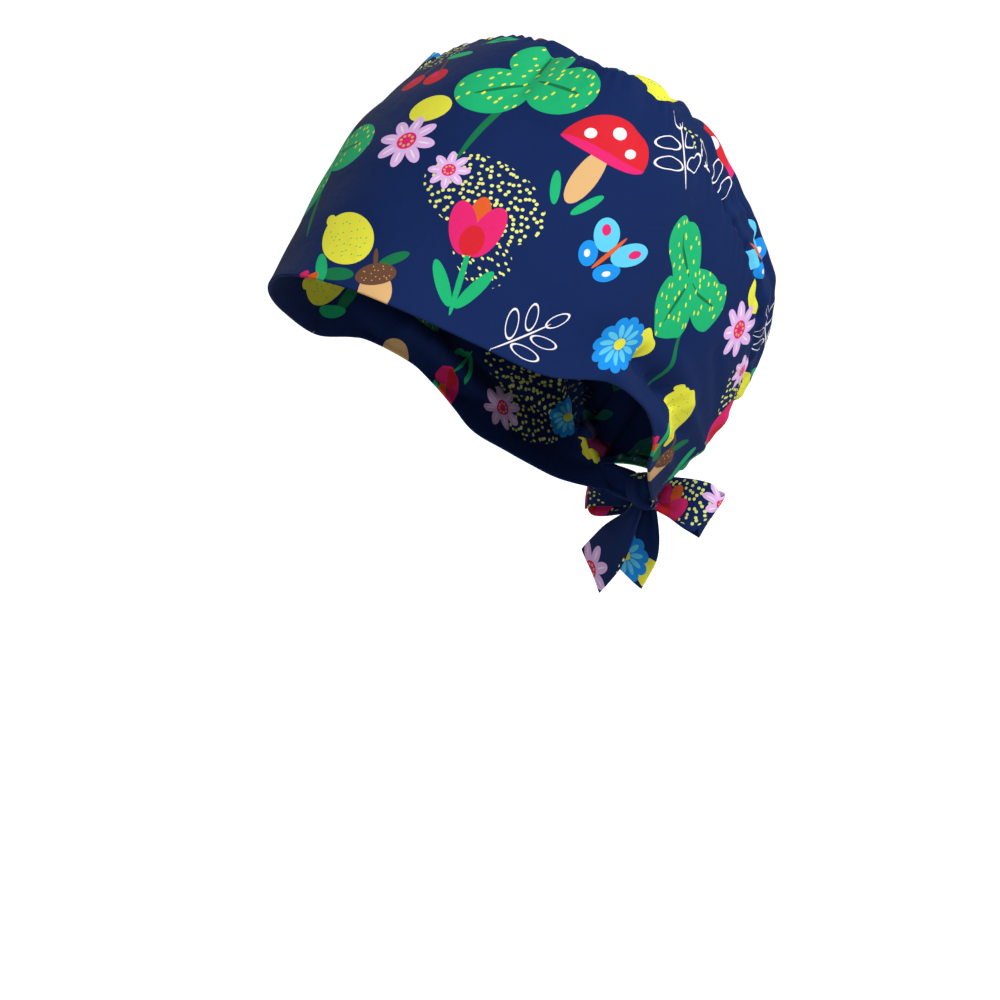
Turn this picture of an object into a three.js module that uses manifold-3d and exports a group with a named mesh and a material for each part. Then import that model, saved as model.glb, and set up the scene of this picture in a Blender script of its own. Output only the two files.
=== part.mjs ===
// A tie-back surgical scrub cap in its worn form: a folded front panel, a gathered crown panel
// and two ties in a bow at the nape. Millimetres, +X the wearer's left, -Y the front, +Z up.
// The origin is the centre of the head opening, at the height of the ear tops.
import * as THREE from 'three';
import { mergeVertices } from 'three/addons/utils/BufferGeometryUtils.js';
import Module from 'manifold-3d';

// Driving dimensions of the cap.
const openingWidth = 170;
const openingDepth = 210;
const foreheadRise = 47;
const napeDrop = 79;
const seamWidth = 176;
const seamReach = 108;
const seamHeight = 145;
const panelBulge = 14;
const bulgeSkew = 1.3;
const pouchDepth = 62;
const panelWall = 2;
const crownWall = 1.4;
const seamGap = 0.4;

// Driving dimensions of the ties.
const tieWall = 1.6;
const tieWidth = 26;
const pinchedWidth = 13;
const loopLength = 42;
const loopOpening = 11;
const tailLength = 40;
const tieGap = 0.4;
const tailGap = 0.3;
const knotWidth = 19;
const knotDepth = 14;
const knotHeight = 18;
const knotSetback = 7;
const knotHang = 0.99;
const knotSoftness = 0.8;

// The gathers of the crown: how many run in from the seam, how deep, and how far in they are deepest.
// A second row of more and lower ones lies over them, and the nape edge takes a share of the ring's turns.
const gatherCount = 14;
const secondCount = 19;
const secondShare = 0.5;
const gatherDepth = 1.3;
const gatherPeak = 0.22;
const napeShare = 0.12;

// Shares: how far the crown's heart lies behind the loop of the seam, how far the nape edge bows back and up,
// from which place the gap at the seam grows toward the nape, and by how much.
const heartSetback = 0.08;
const napeBow = 0.02;
const napeLift = 0.03;
const gapGrowsFrom = 0.85;
const gapGrowth = 1.5;

// The leads: how far each runs straight on from the panel in millimetres, its shares of the panel end's height
// and of the knot's width and depth on its way in, and where along it the pinched width is reached.
const lead = { straight: 5, endShare: 0.8, nearShare: 0.6, rootShare: 0.3, forward: 0.12, pinchedAt: 0.8, cells: 8 };

// The loops: the way each reaches out, the way of its width at the fold, where along its drop it starts, the
// powers that round its reach and its width, and how far behind the knot's middle it lies.
const loop = {
  out: [0.98, 0.02, -0.12],
  up: [0.3, 0.52, 0.8],
  from: 0.05,
  reachPower: 0.85,
  widthPower: 0.7,
  back: 0.22,
};

// The tails: how far each leans over for each millimetre it hangs. The shares say where it bends, how narrow it
// starts, how far it twists and where along it the full width is reached. aside is in millimetres.
const leans = { left: -0.48, right: -0.8 };
const tail = {
  under: 0.2,
  firstDrop: 0.7,
  bendOver: 0.6,
  bendDown: 0.7,
  aside: 2,
  narrow: 0.6,
  twist: 0.25,
  slope: 0.8,
  widensUntil: 0.7,
  cells: 12,
};

// How finely the walls are divided.
const seamCells = 72;
const panelCells = 10;
const napeCells = 6;
const crownCells = 12;
const strapCells = 18;
const strapAcross = 3;

const print = new THREE.MeshStandardMaterial({ color: 0x162a5a, roughness: 0.85, metalness: 0 });
const plain = new THREE.MeshStandardMaterial({ color: 0x101c44, roughness: 0.88, metalness: 0 });

// Half of the front panel, a row for each section from the middle of the forehead to the nape end.
// rimX, rimY: shares of half the opening's width and depth. rimUp, rimDown: shares of foreheadRise and napeDrop.
// seamX, seamY, seamUp, seamDown: shares of half the seam's width, of seamReach, seamHeight and napeDrop.
// bulge: share of panelBulge. full: roundness of the crown from there, 2 is an ellipse. over: the crown's overhang.
const sections = table(
  'rimX rimY rimUp rimDown seamX seamY seamUp seamDown bulge full over',
  [
    [0.0, -1.0, 1.0, 0, 0.0, 0.222, 1.0, 0, 1.3, 1.05, 0.0],
    [0.309, -0.951, 0.93, 0, 0.25, 0.204, 0.986, 0, 1.15, 1.05, 0.0],
    [0.588, -0.809, 0.715, 0, 0.5, 0.2, 0.955, 0, 0.85, 1.05, 0.0],
    [0.809, -0.588, 0.41, 0, 0.69, 0.232, 0.924, 0, 0.75, 1.04, 0.0],
    [0.951, -0.309, 0.085, 0, 0.818, 0.335, 0.872, 0, 0.75, 1.02, 0.0],
    [1.0, 0.0, 0, 0.025, 0.903, 0.435, 0.79, 0, 0.7, 1.04, 0.0],
    [0.94, 0.243, 0, 0.19, 0.97, 0.537, 0.65, 0, 0.55, 1.12, 0.0],
    [0.89, 0.352, 0, 0.342, 1.0, 0.648, 0.51, 0, 0.5, 1.33, 0.01],
    [0.82, 0.43, 0, 0.5, 0.985, 0.778, 0.36, 0, 0.4, 1.45, 0.02],
    [0.72, 0.475, 0, 0.63, 0.94, 0.885, 0.207, 0, 0.4, 1.6, 0.02],
    [0.6, 0.57, 0, 0.74, 0.85, 0.965, 0.034, 0, 0.4, 1.7, 0.02],
    [0.5, 0.66, 0, 0.835, 0.7, 1.0, 0, 0.28, 0.35, 1.8, 0.02],
    [0.4, 0.76, 0, 0.92, 0.52, 0.945, 0, 0.53, 0.2, 1.8, 0.01],
    [0.28, 0.87, 0, 0.975, 0.385, 0.88, 0, 0.66, 0.1, 1.8, 0.0],
    [0.18, 0.925, 0, 1.0, 0.28, 0.915, 0, 0.835, 0.0, 1.8, 0.0],
  ],
);

// Soft folds of the front panel, alike on both sides. Each runs between two places, given as a share of the way
// to the nape and of the rise from rim to seam. wide and high are in millimetres, and a dent is negative.
const folds = [
  { fromPlace: 0.43, fromRise: 0.05, toPlace: 0.62, toRise: 0.42, wide: 7, high: -3 },
  { fromPlace: 0.27, fromRise: 0.1, toPlace: 0.42, toRise: 0.2, wide: 9, high: 1.4 },
  { fromPlace: 0.47, fromRise: 0.04, toPlace: 0.58, toRise: 0.08, wide: 5, high: 1.6 },
  { fromPlace: 0.4, fromRise: 0.3, toPlace: 0.46, toRise: 0.75, wide: 13, high: -1.6 },
];

// Pinches where the gathered crown draws the seam down: place from -1 to 1, breadth alike, depth in millimetres.
const pinches = [
  { place: 0.085, breadth: 0.03, depth: 4 },
  { place: -0.17, breadth: 0.035, depth: 3 },
  { place: 0.3, breadth: 0.03, depth: 1.5 },
  { place: -0.36, breadth: 0.03, depth: 1.5 },
];

function table(names, rows) {
  const columns = {};
  names.split(' ').forEach((name, c) => {
    columns[name] = rows.map((row) => row[c]);
  });
  return columns;
}

// The value of a column at a place from -1 to 1, smooth across the middle. A sideways column changes sign there.
function columnAt(name, place, sideways = false) {
  const column = sections[name];
  const last = column.length - 1;
  const at = Math.min(Math.abs(place), 1) * last;
  const row = Math.min(Math.floor(at), last - 1);
  const flip = sideways ? -1 : 1;
  const before = row === 0 ? flip * column[1] : column[row - 1];
  const after = row + 2 > last ? 2 * column[last] - column[last - 1] : column[row + 2];
  const value = hermite(before, column[row], column[row + 1], after, at - row);
  return sideways ? Math.sign(place) * value : value;
}

function hermite(a, b, c, d, t) {
  const slopeIn = (c - a) / 2;
  const slopeOut = (d - b) / 2;
  const t2 = t * t;
  const t3 = t2 * t;
  return (2 * t3 - 3 * t2 + 1) * b + (t3 - 2 * t2 + t) * slopeIn + (3 * t2 - 2 * t3) * c + (t3 - t2) * slopeOut;
}

function rimPoint(place) {
  return new THREE.Vector3(
    (columnAt('rimX', place, true) * openingWidth) / 2,
    (columnAt('rimY', place) * openingDepth) / 2,
    columnAt('rimUp', place) * foreheadRise - columnAt('rimDown', place) * napeDrop,
  );
}

function seamPoint(place) {
  let drawn = 0;
  pinches.forEach((pinch) => {
    drawn += pinch.depth * Math.exp(-Math.pow((place - pinch.place) / pinch.breadth, 2));
  });
  return new THREE.Vector3(
    (columnAt('seamX', place, true) * seamWidth) / 2,
    columnAt('seamY', place) * seamReach,
    columnAt('seamUp', place) * seamHeight - columnAt('seamDown', place) * napeDrop - drawn,
  );
}

// The front panel without its folds: a curve from the rim to the seam, pushed out square to its chord.
function smoothPanelPoint(place, rise) {
  const rim = rimPoint(place);
  const seam = seamPoint(place);
  const middle = rim.clone().lerp(seam, 0.5);
  const chord = seam.clone().sub(rim).normalize();
  const heart = new THREE.Vector3(0, 0, Math.min(foreheadRise, middle.z));
  const out = middle.clone().sub(heart);
  out.addScaledVector(chord, -out.dot(chord)).normalize();
  const skewed = Math.pow(rise, bulgeSkew);
  const push = 4 * skewed * (1 - skewed) * columnAt('bulge', place) * panelBulge;
  return rim.lerp(seam, rise).addScaledVector(out, push);
}

// A point of the front panel's outside. The folds push it to or from the upright line through the head.
function panelPoint(place, rise) {
  const point = smoothPanelPoint(place, rise);
  const outward = new THREE.Vector3(point.x, point.y, Math.max(0, point.z) / 2).normalize();
  const side = place < 0 ? -1 : 1;
  let push = 0;
  folds.forEach((fold) => {
    const from = smoothPanelPoint(side * fold.fromPlace, fold.fromRise);
    const to = smoothPanelPoint(side * fold.toPlace, fold.toRise);
    const nearest = new THREE.Line3(from, to).closestPointToPoint(point, true, new THREE.Vector3());
    push += fold.high * Math.exp(-Math.pow(point.distanceTo(nearest) / fold.wide, 2));
  });
  return point.addScaledVector(outward, push);
}

// The crown stands on the closed loop of the seam and the free edge across the nape.
const top = seamPoint(0);
const napeEnd = seamPoint(1);
const loopLow = new THREE.Vector3(0, napeEnd.y, napeEnd.z);
const loopAxis = top.clone().sub(loopLow).normalize();
const backward = new THREE.Vector3(1, 0, 0).cross(loopAxis).negate();
const loopHeart = loopLow.clone().lerp(top, 0.5).add(new THREE.Vector3(0, heartSetback * seamReach, 0));

function ringPlaces() {
  const ring = [];
  for (let i = 0; i <= seamCells; i += 1) {
    ring.push({ place: (2 * i) / seamCells - 1, across: 0 });
  }
  for (let i = 1; i < napeCells; i += 1) {
    ring.push({ place: 1, across: i / napeCells });
  }
  return ring;
}

function ringPoint({ place, across }) {
  const point = seamPoint(place);
  if (across > 0) {
    point.x *= 1 - 2 * across;
    point.y += napeBow * seamReach * Math.sin(Math.PI * across);
    point.z += napeLift * napeDrop * Math.sin(Math.PI * across);
  }
  return point;
}

// A point of the crown's outside. inward is 0 at the seam and 1 at the middle of the pouch.
function crownPoint(station, inward) {
  const full = columnAt('full', station.place);
  const turn = (Math.PI / 2) * Math.pow(inward, full / 2);
  const share = Math.cos(turn);
  const away = ringPoint(station).sub(loopHeart);
  const depthThere = away.dot(backward);
  const flat = away.clone().addScaledVector(backward, -depthThere);
  const roundness = 2 + (full - 2) * share * share;
  const lift = Math.pow(Math.max(0, 1 - Math.pow(share, roundness)), 1 / roundness);
  const spread = share + columnAt('over', station.place) * Math.sin(turn) * Math.pow(share, 3);
  const point = loopHeart
    .clone()
    .addScaledVector(flat, spread)
    .addScaledVector(backward, depthThere * share * share + pouchDepth * lift);
  const around = (station.place + 1 + station.across * napeShare) / (2 + napeShare);
  const toPeak = inward / gatherPeak;
  const turns = 2 * Math.PI * around;
  const wave = Math.sin(gatherCount * turns) + secondShare * Math.sin(secondCount * turns);
  const fromHeart = point.clone().sub(loopHeart).normalize();
  return point.addScaledVector(fromHeart, gatherDepth * wave * Math.pow(toPeak * Math.exp(1 - toPeak), 2));
}

// Unit normals of a grid of points, by the differences between its neighbours.
function gridNormals(grid, closed) {
  return grid.map((line, i) =>
    line.map((point, j) => {
      const count = grid.length;
      const next = closed ? grid[(i + 1) % count] : grid[Math.min(i + 1, count - 1)];
      const last = closed ? grid[(i + count - 1) % count] : grid[Math.max(i - 1, 0)];
      const along = next[j].clone().sub(last[j]);
      const across = line[Math.min(j + 1, line.length - 1)].clone().sub(line[Math.max(j - 1, 0)]);
      return along.cross(across).normalize();
    }),
  );
}

function offsetGrid(grid, normals, distance) {
  return grid.map((line, i) => line.map((point, j) => point.clone().addScaledVector(normals[i][j], distance)));
}

// A closed mesh with its faces pointing out, from points and four-cornered or three-cornered faces.
function bodyGeometry(points, faces) {
  const triangles = [];
  faces.forEach((face) => {
    for (let k = 1; k + 1 < face.length; k += 1) {
      triangles.push([face[0], face[k], face[k + 1]]);
    }
  });
  let volume = 0;
  triangles.forEach(([a, b, c]) => {
    volume += points[a].dot(points[b].clone().cross(points[c]));
  });
  const geometry = new THREE.BufferGeometry().setFromPoints(points);
  geometry.setIndex(triangles.flatMap(([a, b, c]) => (volume > 0 ? [a, b, c] : [a, c, b])));
  geometry.computeVertexNormals();
  return geometry;
}

// A wall between two open grids of the same size, with its four edges closed.
function sheetWall(outer, inner) {
  const rows = outer.length;
  const columns = outer[0].length;
  const points = [...outer.flat(), ...inner.flat()];
  const out = (i, j) => i * columns + j;
  const into = (i, j) => rows * columns + out(i, j);
  const faces = [];
  for (let i = 0; i + 1 < rows; i += 1) {
    for (let j = 0; j + 1 < columns; j += 1) {
      faces.push([out(i, j), out(i + 1, j), out(i + 1, j + 1), out(i, j + 1)]);
      faces.push([into(i, j), into(i, j + 1), into(i + 1, j + 1), into(i + 1, j)]);
    }
    faces.push([into(i, 0), into(i + 1, 0), out(i + 1, 0), out(i, 0)]);
    faces.push([out(i, columns - 1), out(i + 1, columns - 1), into(i + 1, columns - 1), into(i, columns - 1)]);
  }
  for (let j = 0; j + 1 < columns; j += 1) {
    faces.push([out(0, j), out(0, j + 1), into(0, j + 1), into(0, j)]);
    faces.push([into(rows - 1, j), into(rows - 1, j + 1), out(rows - 1, j + 1), out(rows - 1, j)]);
  }
  return bodyGeometry(points, faces);
}

// A wall between two domes, each a ring of lines that run from the edge to one shared pole.
function domeWall(outer, inner, outerPole, innerPole) {
  const around = outer.length;
  const columns = outer[0].length;
  const points = [...outer.flat(), ...inner.flat(), outerPole, innerPole];
  const out = (i, j) => (i % around) * columns + j;
  const into = (i, j) => around * columns + out(i, j);
  const poleOut = 2 * around * columns;
  const faces = [];
  for (let i = 0; i < around; i += 1) {
    for (let j = 0; j + 1 < columns; j += 1) {
      faces.push([out(i, j), out(i + 1, j), out(i + 1, j + 1), out(i, j + 1)]);
      faces.push([into(i, j), into(i, j + 1), into(i + 1, j + 1), into(i + 1, j)]);
    }
    faces.push([out(i, columns - 1), out(i + 1, columns - 1), poleOut]);
    faces.push([into(i + 1, columns - 1), into(i, columns - 1), poleOut + 1]);
    faces.push([into(i, 0), into(i + 1, 0), out(i + 1, 0), out(i, 0)]);
  }
  return bodyGeometry(points, faces);
}

function buildCapWalls() {
  const ring = ringPlaces();
  const panel = ring.slice(0, seamCells + 1).map(({ place }) => {
    const line = [];
    for (let j = 0; j <= panelCells; j += 1) {
      line.push(panelPoint(place, j / panelCells));
    }
    return line;
  });
  const crown = ring.map((station) => {
    const line = [];
    for (let j = 0; j < crownCells; j += 1) {
      line.push(crownPoint(station, j / crownCells));
    }
    return line;
  });
  const panelNormals = gridNormals(panel, false);
  const crownNormals = gridNormals(crown, true);

  // Along the seam both walls share one mitred direction, so their edges face each other across the gap.
  // The two nape ends stay square, for the leads.
  panelNormals.forEach((line, i) => {
    const share = i === 0 || i === seamCells ? 0 : 1;
    const mitre = line[panelCells].clone().addScaledVector(crownNormals[i][0], share).normalize();
    line[panelCells].copy(mitre);
    crownNormals[i][0].copy(mitre);
  });
  crown.forEach((line, i) => {
    const apart = line[1].clone().sub(line[0]);
    apart.addScaledVector(crownNormals[i][0], -apart.dot(crownNormals[i][0])).normalize();
    const nearNape = THREE.MathUtils.smoothstep(Math.abs(ring[i].place), gapGrowsFrom, 1);
    line[0].addScaledVector(apart, seamGap * (1 + gapGrowth * nearNape));
  });

  const pole = loopHeart.clone().addScaledVector(backward, pouchDepth);
  const front = sheetWall(panel, offsetGrid(panel, panelNormals, -panelWall));
  const back = domeWall(
    crown,
    offsetGrid(crown, crownNormals, -crownWall),
    pole,
    pole.clone().addScaledVector(backward, -crownWall),
  );
  return { front, back };
}

// A strap along a line of {at, side, width}: at is its middle, side the direction of its width.
function strapGeometry(stops) {
  const middle = stops.map((stop) =>
    Array.from({ length: strapAcross + 1 }, (_, j) =>
      stop.at.clone().addScaledVector(stop.side, stop.width * (j / strapAcross - 0.5)),
    ),
  );
  const normals = gridNormals(middle, false);
  return sheetWall(offsetGrid(middle, normals, tieWall / 2), offsetGrid(middle, normals, -tieWall / 2));
}

const knotAt = new THREE.Vector3(0, napeEnd.y + knotSetback, -knotHang * napeDrop);

// The knot, or with a clearance the room that the straps leave for it: a squared ball.
function knotGeometry(clearance) {
  const half = new THREE.Vector3(knotWidth, knotDepth, knotHeight).multiplyScalar(0.5).addScalar(clearance);
  const ball = new THREE.SphereGeometry(1, 20, 12);
  const position = ball.attributes.position;
  const soft = (value) => Math.sign(value) * Math.pow(Math.abs(value), knotSoftness);
  for (let i = 0; i < position.count; i += 1) {
    position.setXYZ(
      i,
      knotAt.x + half.x * soft(position.getX(i)),
      knotAt.y + half.y * soft(position.getZ(i)),
      knotAt.z + half.z * soft(position.getY(i)),
    );
  }
  ball.deleteAttribute('normal');
  ball.deleteAttribute('uv');
  const merged = mergeVertices(ball, 1e-4);
  const points = [];
  for (let i = 0; i < merged.attributes.position.count; i += 1) {
    points.push(new THREE.Vector3().fromBufferAttribute(merged.attributes.position, i));
  }
  const corners = Array.from(merged.index.array);
  const faces = [];
  for (let k = 0; k < corners.length; k += 3) {
    const face = corners.slice(k, k + 3);
    if (new Set(face).size === 3) {
      faces.push(face);
    }
  }
  return bodyGeometry(points, faces);
}

const wasm = await Module();
wasm.setup();

function toSolid(geometry) {
  return new wasm.Manifold(
    new wasm.Mesh({
      numProp: 3,
      vertProperties: Float32Array.from(geometry.attributes.position.array),
      triVerts: Uint32Array.from(geometry.index.array),
    }),
  );
}

// A neighbour grown by the gap that a strap keeps to it: the neighbour and six moved copies of it.
function grown(solid, gap) {
  const moves = [
    [0, 0, 0],
    [gap, 0, 0],
    [-gap, 0, 0],
    [0, gap, 0],
    [0, -gap, 0],
    [0, 0, gap],
    [0, 0, -gap],
  ];
  return wasm.Manifold.union(moves.map((move) => solid.translate(move)));
}

// What is left of a strap outside the room that it leaves for its neighbours, without loose crumbs.
function clearOf(geometry, neighbours) {
  let left = toSolid(geometry);
  neighbours.forEach((neighbour) => {
    left = left.subtract(neighbour);
  });
  const pieces = left.decompose();
  pieces.sort((a, b) => b.volume() - a.volume());
  const mesh = pieces[0].getMesh();
  const cut = new THREE.BufferGeometry();
  cut.setAttribute('position', new THREE.BufferAttribute(Float32Array.from(mesh.vertProperties), 3));
  cut.setIndex(Array.from(mesh.triVerts));
  cut.computeVertexNormals();
  return cut;
}

// From the panel's end, across a small gap, to the knot.
function leadGeometry(hand, rooms) {
  const low = rimPoint(hand);
  const high = seamPoint(hand);
  const end = low.clone().lerp(high, 0.5);
  const side = high.clone().sub(low).normalize();
  const onward = knotAt.clone().sub(end);
  onward.addScaledVector(side, -onward.dot(side)).normalize();
  const inward = onward.clone().cross(side).normalize();
  inward.multiplyScalar(-Math.sign(inward.y));
  const start = end.clone().addScaledVector(inward, panelWall / 2);
  const forward = -knotDepth * lead.forward;
  const atKnot = (share) => knotAt.clone().add(new THREE.Vector3(hand * knotWidth * share, forward, 0));
  const onOut = start.clone().addScaledVector(onward, lead.straight);
  const bend = new THREE.CubicBezierCurve3(start, onOut, atKnot(lead.nearShare), atKnot(lead.rootShare));
  const full = lead.endShare * high.distanceTo(low);
  const stops = [];
  for (let i = 0; i <= lead.cells; i += 1) {
    const t = i / lead.cells;
    const width = THREE.MathUtils.lerp(full, pinchedWidth, THREE.MathUtils.smoothstep(t, 0, lead.pinchedAt));
    const upright = side.clone().lerp(new THREE.Vector3(0, 0, 1), t).normalize();
    stops.push({ at: bend.getPoint(t), side: upright, width });
  }
  return clearOf(strapGeometry(stops), rooms);
}

// Out from the knot and back again as a drop-shaped loop, pinched at the knot and skewed at its fold.
function loopGeometry(hand, rooms) {
  const outward = new THREE.Vector3(hand * loop.out[0], loop.out[1], loop.out[2]).normalize();
  const upright = new THREE.Vector3(hand * loop.up[0], loop.up[1], loop.up[2]).normalize();
  const apart = outward.clone().cross(upright).normalize().multiplyScalar(hand);
  const root = knotAt.clone().add(new THREE.Vector3(0, knotDepth * loop.back, 0));
  const stops = [];
  for (let i = 0; i <= strapCells; i += 1) {
    const t = loop.from + ((1 - 2 * loop.from) * i) / strapCells;
    const reach = loopLength * Math.pow(Math.sin(Math.PI * t), loop.reachPower);
    const spread = (loopOpening / 2) * Math.sin(2 * Math.PI * t);
    const open = Math.sin(Math.PI * t);
    stops.push({
      at: root.clone().addScaledVector(outward, reach).addScaledVector(apart, spread),
      side: new THREE.Vector3(0, 0, 1).lerp(upright, open).normalize(),
      width: THREE.MathUtils.lerp(pinchedWidth, tieWidth, Math.pow(open, loop.widthPower)),
    });
  }
  return clearOf(strapGeometry(stops), rooms);
}

// From under the knot, hanging down toward the wearer's right.
function tailGeometry(hand, lean, rooms) {
  const root = knotAt.clone().add(new THREE.Vector3(0, hand * knotDepth * tail.under, -knotHeight * tail.under));
  const from = (x, y, z) => root.clone().add(new THREE.Vector3(x, hand * y, z));
  const bend = new THREE.CubicBezierCurve3(
    root,
    from(lean * tail.aside, tail.aside, -knotHeight * tail.firstDrop),
    from(lean * tailLength * tail.bendOver, 1.5 * tail.aside, -tailLength * tail.bendDown),
    from(lean * tailLength, tail.aside, -tailLength),
  );
  const stops = [];
  for (let i = 0; i <= tail.cells; i += 1) {
    const t = i / tail.cells;
    const widened = THREE.MathUtils.smoothstep(t, 0, tail.widensUntil);
    stops.push({
      at: bend.getPoint(t),
      side: new THREE.Vector3(1, tail.twist * hand, lean * tail.slope).normalize(),
      width: THREE.MathUtils.lerp(pinchedWidth * tail.narrow, tieWidth, widened),
    });
  }
  return clearOf(strapGeometry(stops), rooms);
}

const cap = new THREE.Group();

function addPiece(name, geometry, material) {
  const mesh = new THREE.Mesh(geometry, material);
  mesh.name = name;
  cap.add(mesh);
}

const walls = buildCapWalls();
addPiece('front_panel', walls.front, print);
addPiece('crown_panel', walls.back, print);
addPiece('tie_knot', knotGeometry(0), plain);
const knotRoom = toSolid(knotGeometry(tieGap));
const panelRoom = grown(toSolid(walls.front), tieGap);
const hands = [
  ['left', 1],
  ['right', -1],
];
const tailRooms = [knotRoom];
hands.forEach(([word, hand]) => {
  const folded = loopGeometry(hand, [knotRoom, panelRoom]);
  addPiece(`tie_${word}_lead`, leadGeometry(hand, [knotRoom, panelRoom]), plain);
  addPiece(`tie_${word}_loop`, folded, print);
  tailRooms.push(grown(toSolid(folded), tailGap));
});
hands.forEach(([word, hand]) => {
  addPiece(`tie_${word}_tail`, tailGeometry(hand, leans[word], tailRooms), print);
});

export default cap;
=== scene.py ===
"""A tie-back surgical scrub cap in its worn form, on a pale stage.

The front panel, the gathered crown and the two ties in a bow are surfaces worked out with numpy over the
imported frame, in metres: +X is the wearer's left, -Y the front, +Z up.
"""

import math

import bpy
import numpy as np
from bpy.props import FloatProperty, FloatVectorProperty, PointerProperty
from mathutils import Matrix, Vector


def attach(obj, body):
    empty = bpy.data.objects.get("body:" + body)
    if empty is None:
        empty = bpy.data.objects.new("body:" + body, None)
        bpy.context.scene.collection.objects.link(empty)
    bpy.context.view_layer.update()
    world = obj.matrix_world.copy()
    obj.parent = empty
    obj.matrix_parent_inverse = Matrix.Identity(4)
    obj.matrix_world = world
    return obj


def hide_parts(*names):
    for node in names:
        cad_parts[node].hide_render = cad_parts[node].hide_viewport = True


bl_info = {
    "name": "Surgical scrub cap",
    "version": (1, 0, 0),
    "blender": (4, 5, 0),
    "location": "View3D > Sidebar > Scrub cap",
    "description": "A tie-back cloth scrub cap with a garden print",
    "category": "Add Mesh",
}

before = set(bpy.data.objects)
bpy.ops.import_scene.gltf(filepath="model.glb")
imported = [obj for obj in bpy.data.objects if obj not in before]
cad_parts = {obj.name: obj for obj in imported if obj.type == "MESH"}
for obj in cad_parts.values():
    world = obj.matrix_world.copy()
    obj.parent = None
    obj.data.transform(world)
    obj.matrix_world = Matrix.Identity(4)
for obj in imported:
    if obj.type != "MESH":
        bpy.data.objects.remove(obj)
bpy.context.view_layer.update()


def table(names, rows):
    """A small table as a dictionary of columns."""
    return dict(zip(names.split(), np.array(rows, float).T))


# Half of the front panel, a row for each section from the middle of the forehead to the nape end.
# rimX, rimY: shares of half the opening's width and depth.
# rimUp, rimDown: shares of the forehead rise and the nape drop.
# seamX, seamY, seamUp, seamDown: shares of half the seam's width, its reach, its height and the nape drop.
# bulge: share of the panel's bulge. full: roundness of the crown from there. over: the crown's overhang.
SECTIONS = table(
    "rimX rimY rimUp rimDown seamX seamY seamUp seamDown bulge full over",
    [
        [0.0, -1.0, 1.0, 0, 0.0, 0.222, 1.0, 0, 1.3, 1.05, 0.0],
        [0.309, -0.951, 0.93, 0, 0.25, 0.204, 0.986, 0, 1.15, 1.05, 0.0],
        [0.588, -0.809, 0.715, 0, 0.5, 0.2, 0.955, 0, 0.85, 1.05, 0.0],
        [0.809, -0.588, 0.41, 0, 0.69, 0.232, 0.924, 0, 0.75, 1.04, 0.0],
        [0.951, -0.309, 0.085, 0, 0.818, 0.335, 0.872, 0, 0.75, 1.02, 0.0],
        [1.0, 0.0, 0, 0.025, 0.903, 0.435, 0.79, 0, 0.7, 1.04, 0.0],
        [0.94, 0.243, 0, 0.19, 0.97, 0.537, 0.65, 0, 0.55, 1.12, 0.0],
        [0.89, 0.352, 0, 0.342, 1.0, 0.648, 0.51, 0, 0.5, 1.33, 0.01],
        [0.82, 0.43, 0, 0.5, 0.985, 0.778, 0.36, 0, 0.4, 1.45, 0.02],
        [0.72, 0.475, 0, 0.63, 0.94, 0.885, 0.207, 0, 0.4, 1.6, 0.02],
        [0.6, 0.57, 0, 0.74, 0.85, 0.965, 0.034, 0, 0.4, 1.7, 0.02],
        [0.5, 0.66, 0, 0.835, 0.7, 1.0, 0, 0.28, 0.35, 1.8, 0.02],
        [0.4, 0.76, 0, 0.92, 0.52, 0.945, 0, 0.53, 0.2, 1.8, 0.01],
        [0.28, 0.87, 0, 0.975, 0.385, 0.88, 0, 0.66, 0.1, 1.8, 0.0],
        [0.18, 0.925, 0, 1.0, 0.28, 0.915, 0, 0.835, 0.0, 1.8, 0.0],
    ],
)

# Soft folds of the panel, alike on both sides, between two places given by their share of the way to the
# nape and of the rise from rim to seam. wide and high are in metres, and a dent is negative.
PAIRED_FOLDS = table(
    "from_place from_rise to_place to_rise wide high",
    [
        [0.34, 0.13, 0.4, 0.14, 0.007, -0.002],
        [0.41, 0.135, 0.52, 0.185, 0.0055, -0.0062],
        [0.47, 0.165, 0.565, 0.205, 0.003, -0.0036],
        [0.58, 0.21, 0.67, 0.25, 0.0036, -0.0026],
        [0.36, 0.035, 0.6, 0.1, 0.0045, 0.0022],
        [0.49, 0.265, 0.6, 0.31, 0.0055, 0.0018],
        [0.27, 0.1, 0.34, 0.3, 0.011, 0.001],
        [0.285, 0.83, 0.315, 0.86, 0.01, -0.0016],
        [0.4, 0.4, 0.46, 0.8, 0.012, -0.0014],
    ],
)

# Finer creases of the panel, with signed places, so each is on one side only.
FINE_FOLDS = table(
    "from_place from_rise to_place to_rise wide high",
    [
        [0.62, 0.3, 0.8, 0.5, 0.004, 0.0022],
        [0.6, 0.55, 0.8, 0.66, 0.0042, -0.0018],
        [0.7, 0.12, 0.93, 0.4, 0.0034, 0.0018],
        [0.78, 0.75, 0.97, 0.6, 0.0034, 0.0016],
        [0.085, 0.98, 0.1, 0.8, 0.004, -0.0016],
        [-0.17, 0.98, -0.165, 0.82, 0.004, -0.0014],
        [0.3, 0.99, 0.29, 0.86, 0.004, -0.0012],
        [0.2, 0.25, 0.36, 0.06, 0.008, -0.001],
        [0.06, 0.35, 0.16, 0.12, 0.012, -0.0009],
        [0.12, 0.75, 0.24, 0.5, 0.016, -0.0011],
        [-0.62, 0.3, -0.8, 0.52, 0.004, 0.0021],
        [-0.58, 0.6, -0.82, 0.64, 0.0045, -0.0017],
        [-0.72, 0.15, -0.93, 0.42, 0.0034, 0.0018],
        [-0.8, 0.8, -0.97, 0.62, 0.0034, 0.0016],
        [-0.22, 0.3, -0.4, 0.08, 0.009, -0.001],
        [-0.1, 0.7, -0.26, 0.45, 0.015, -0.0011],
    ],
)

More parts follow.
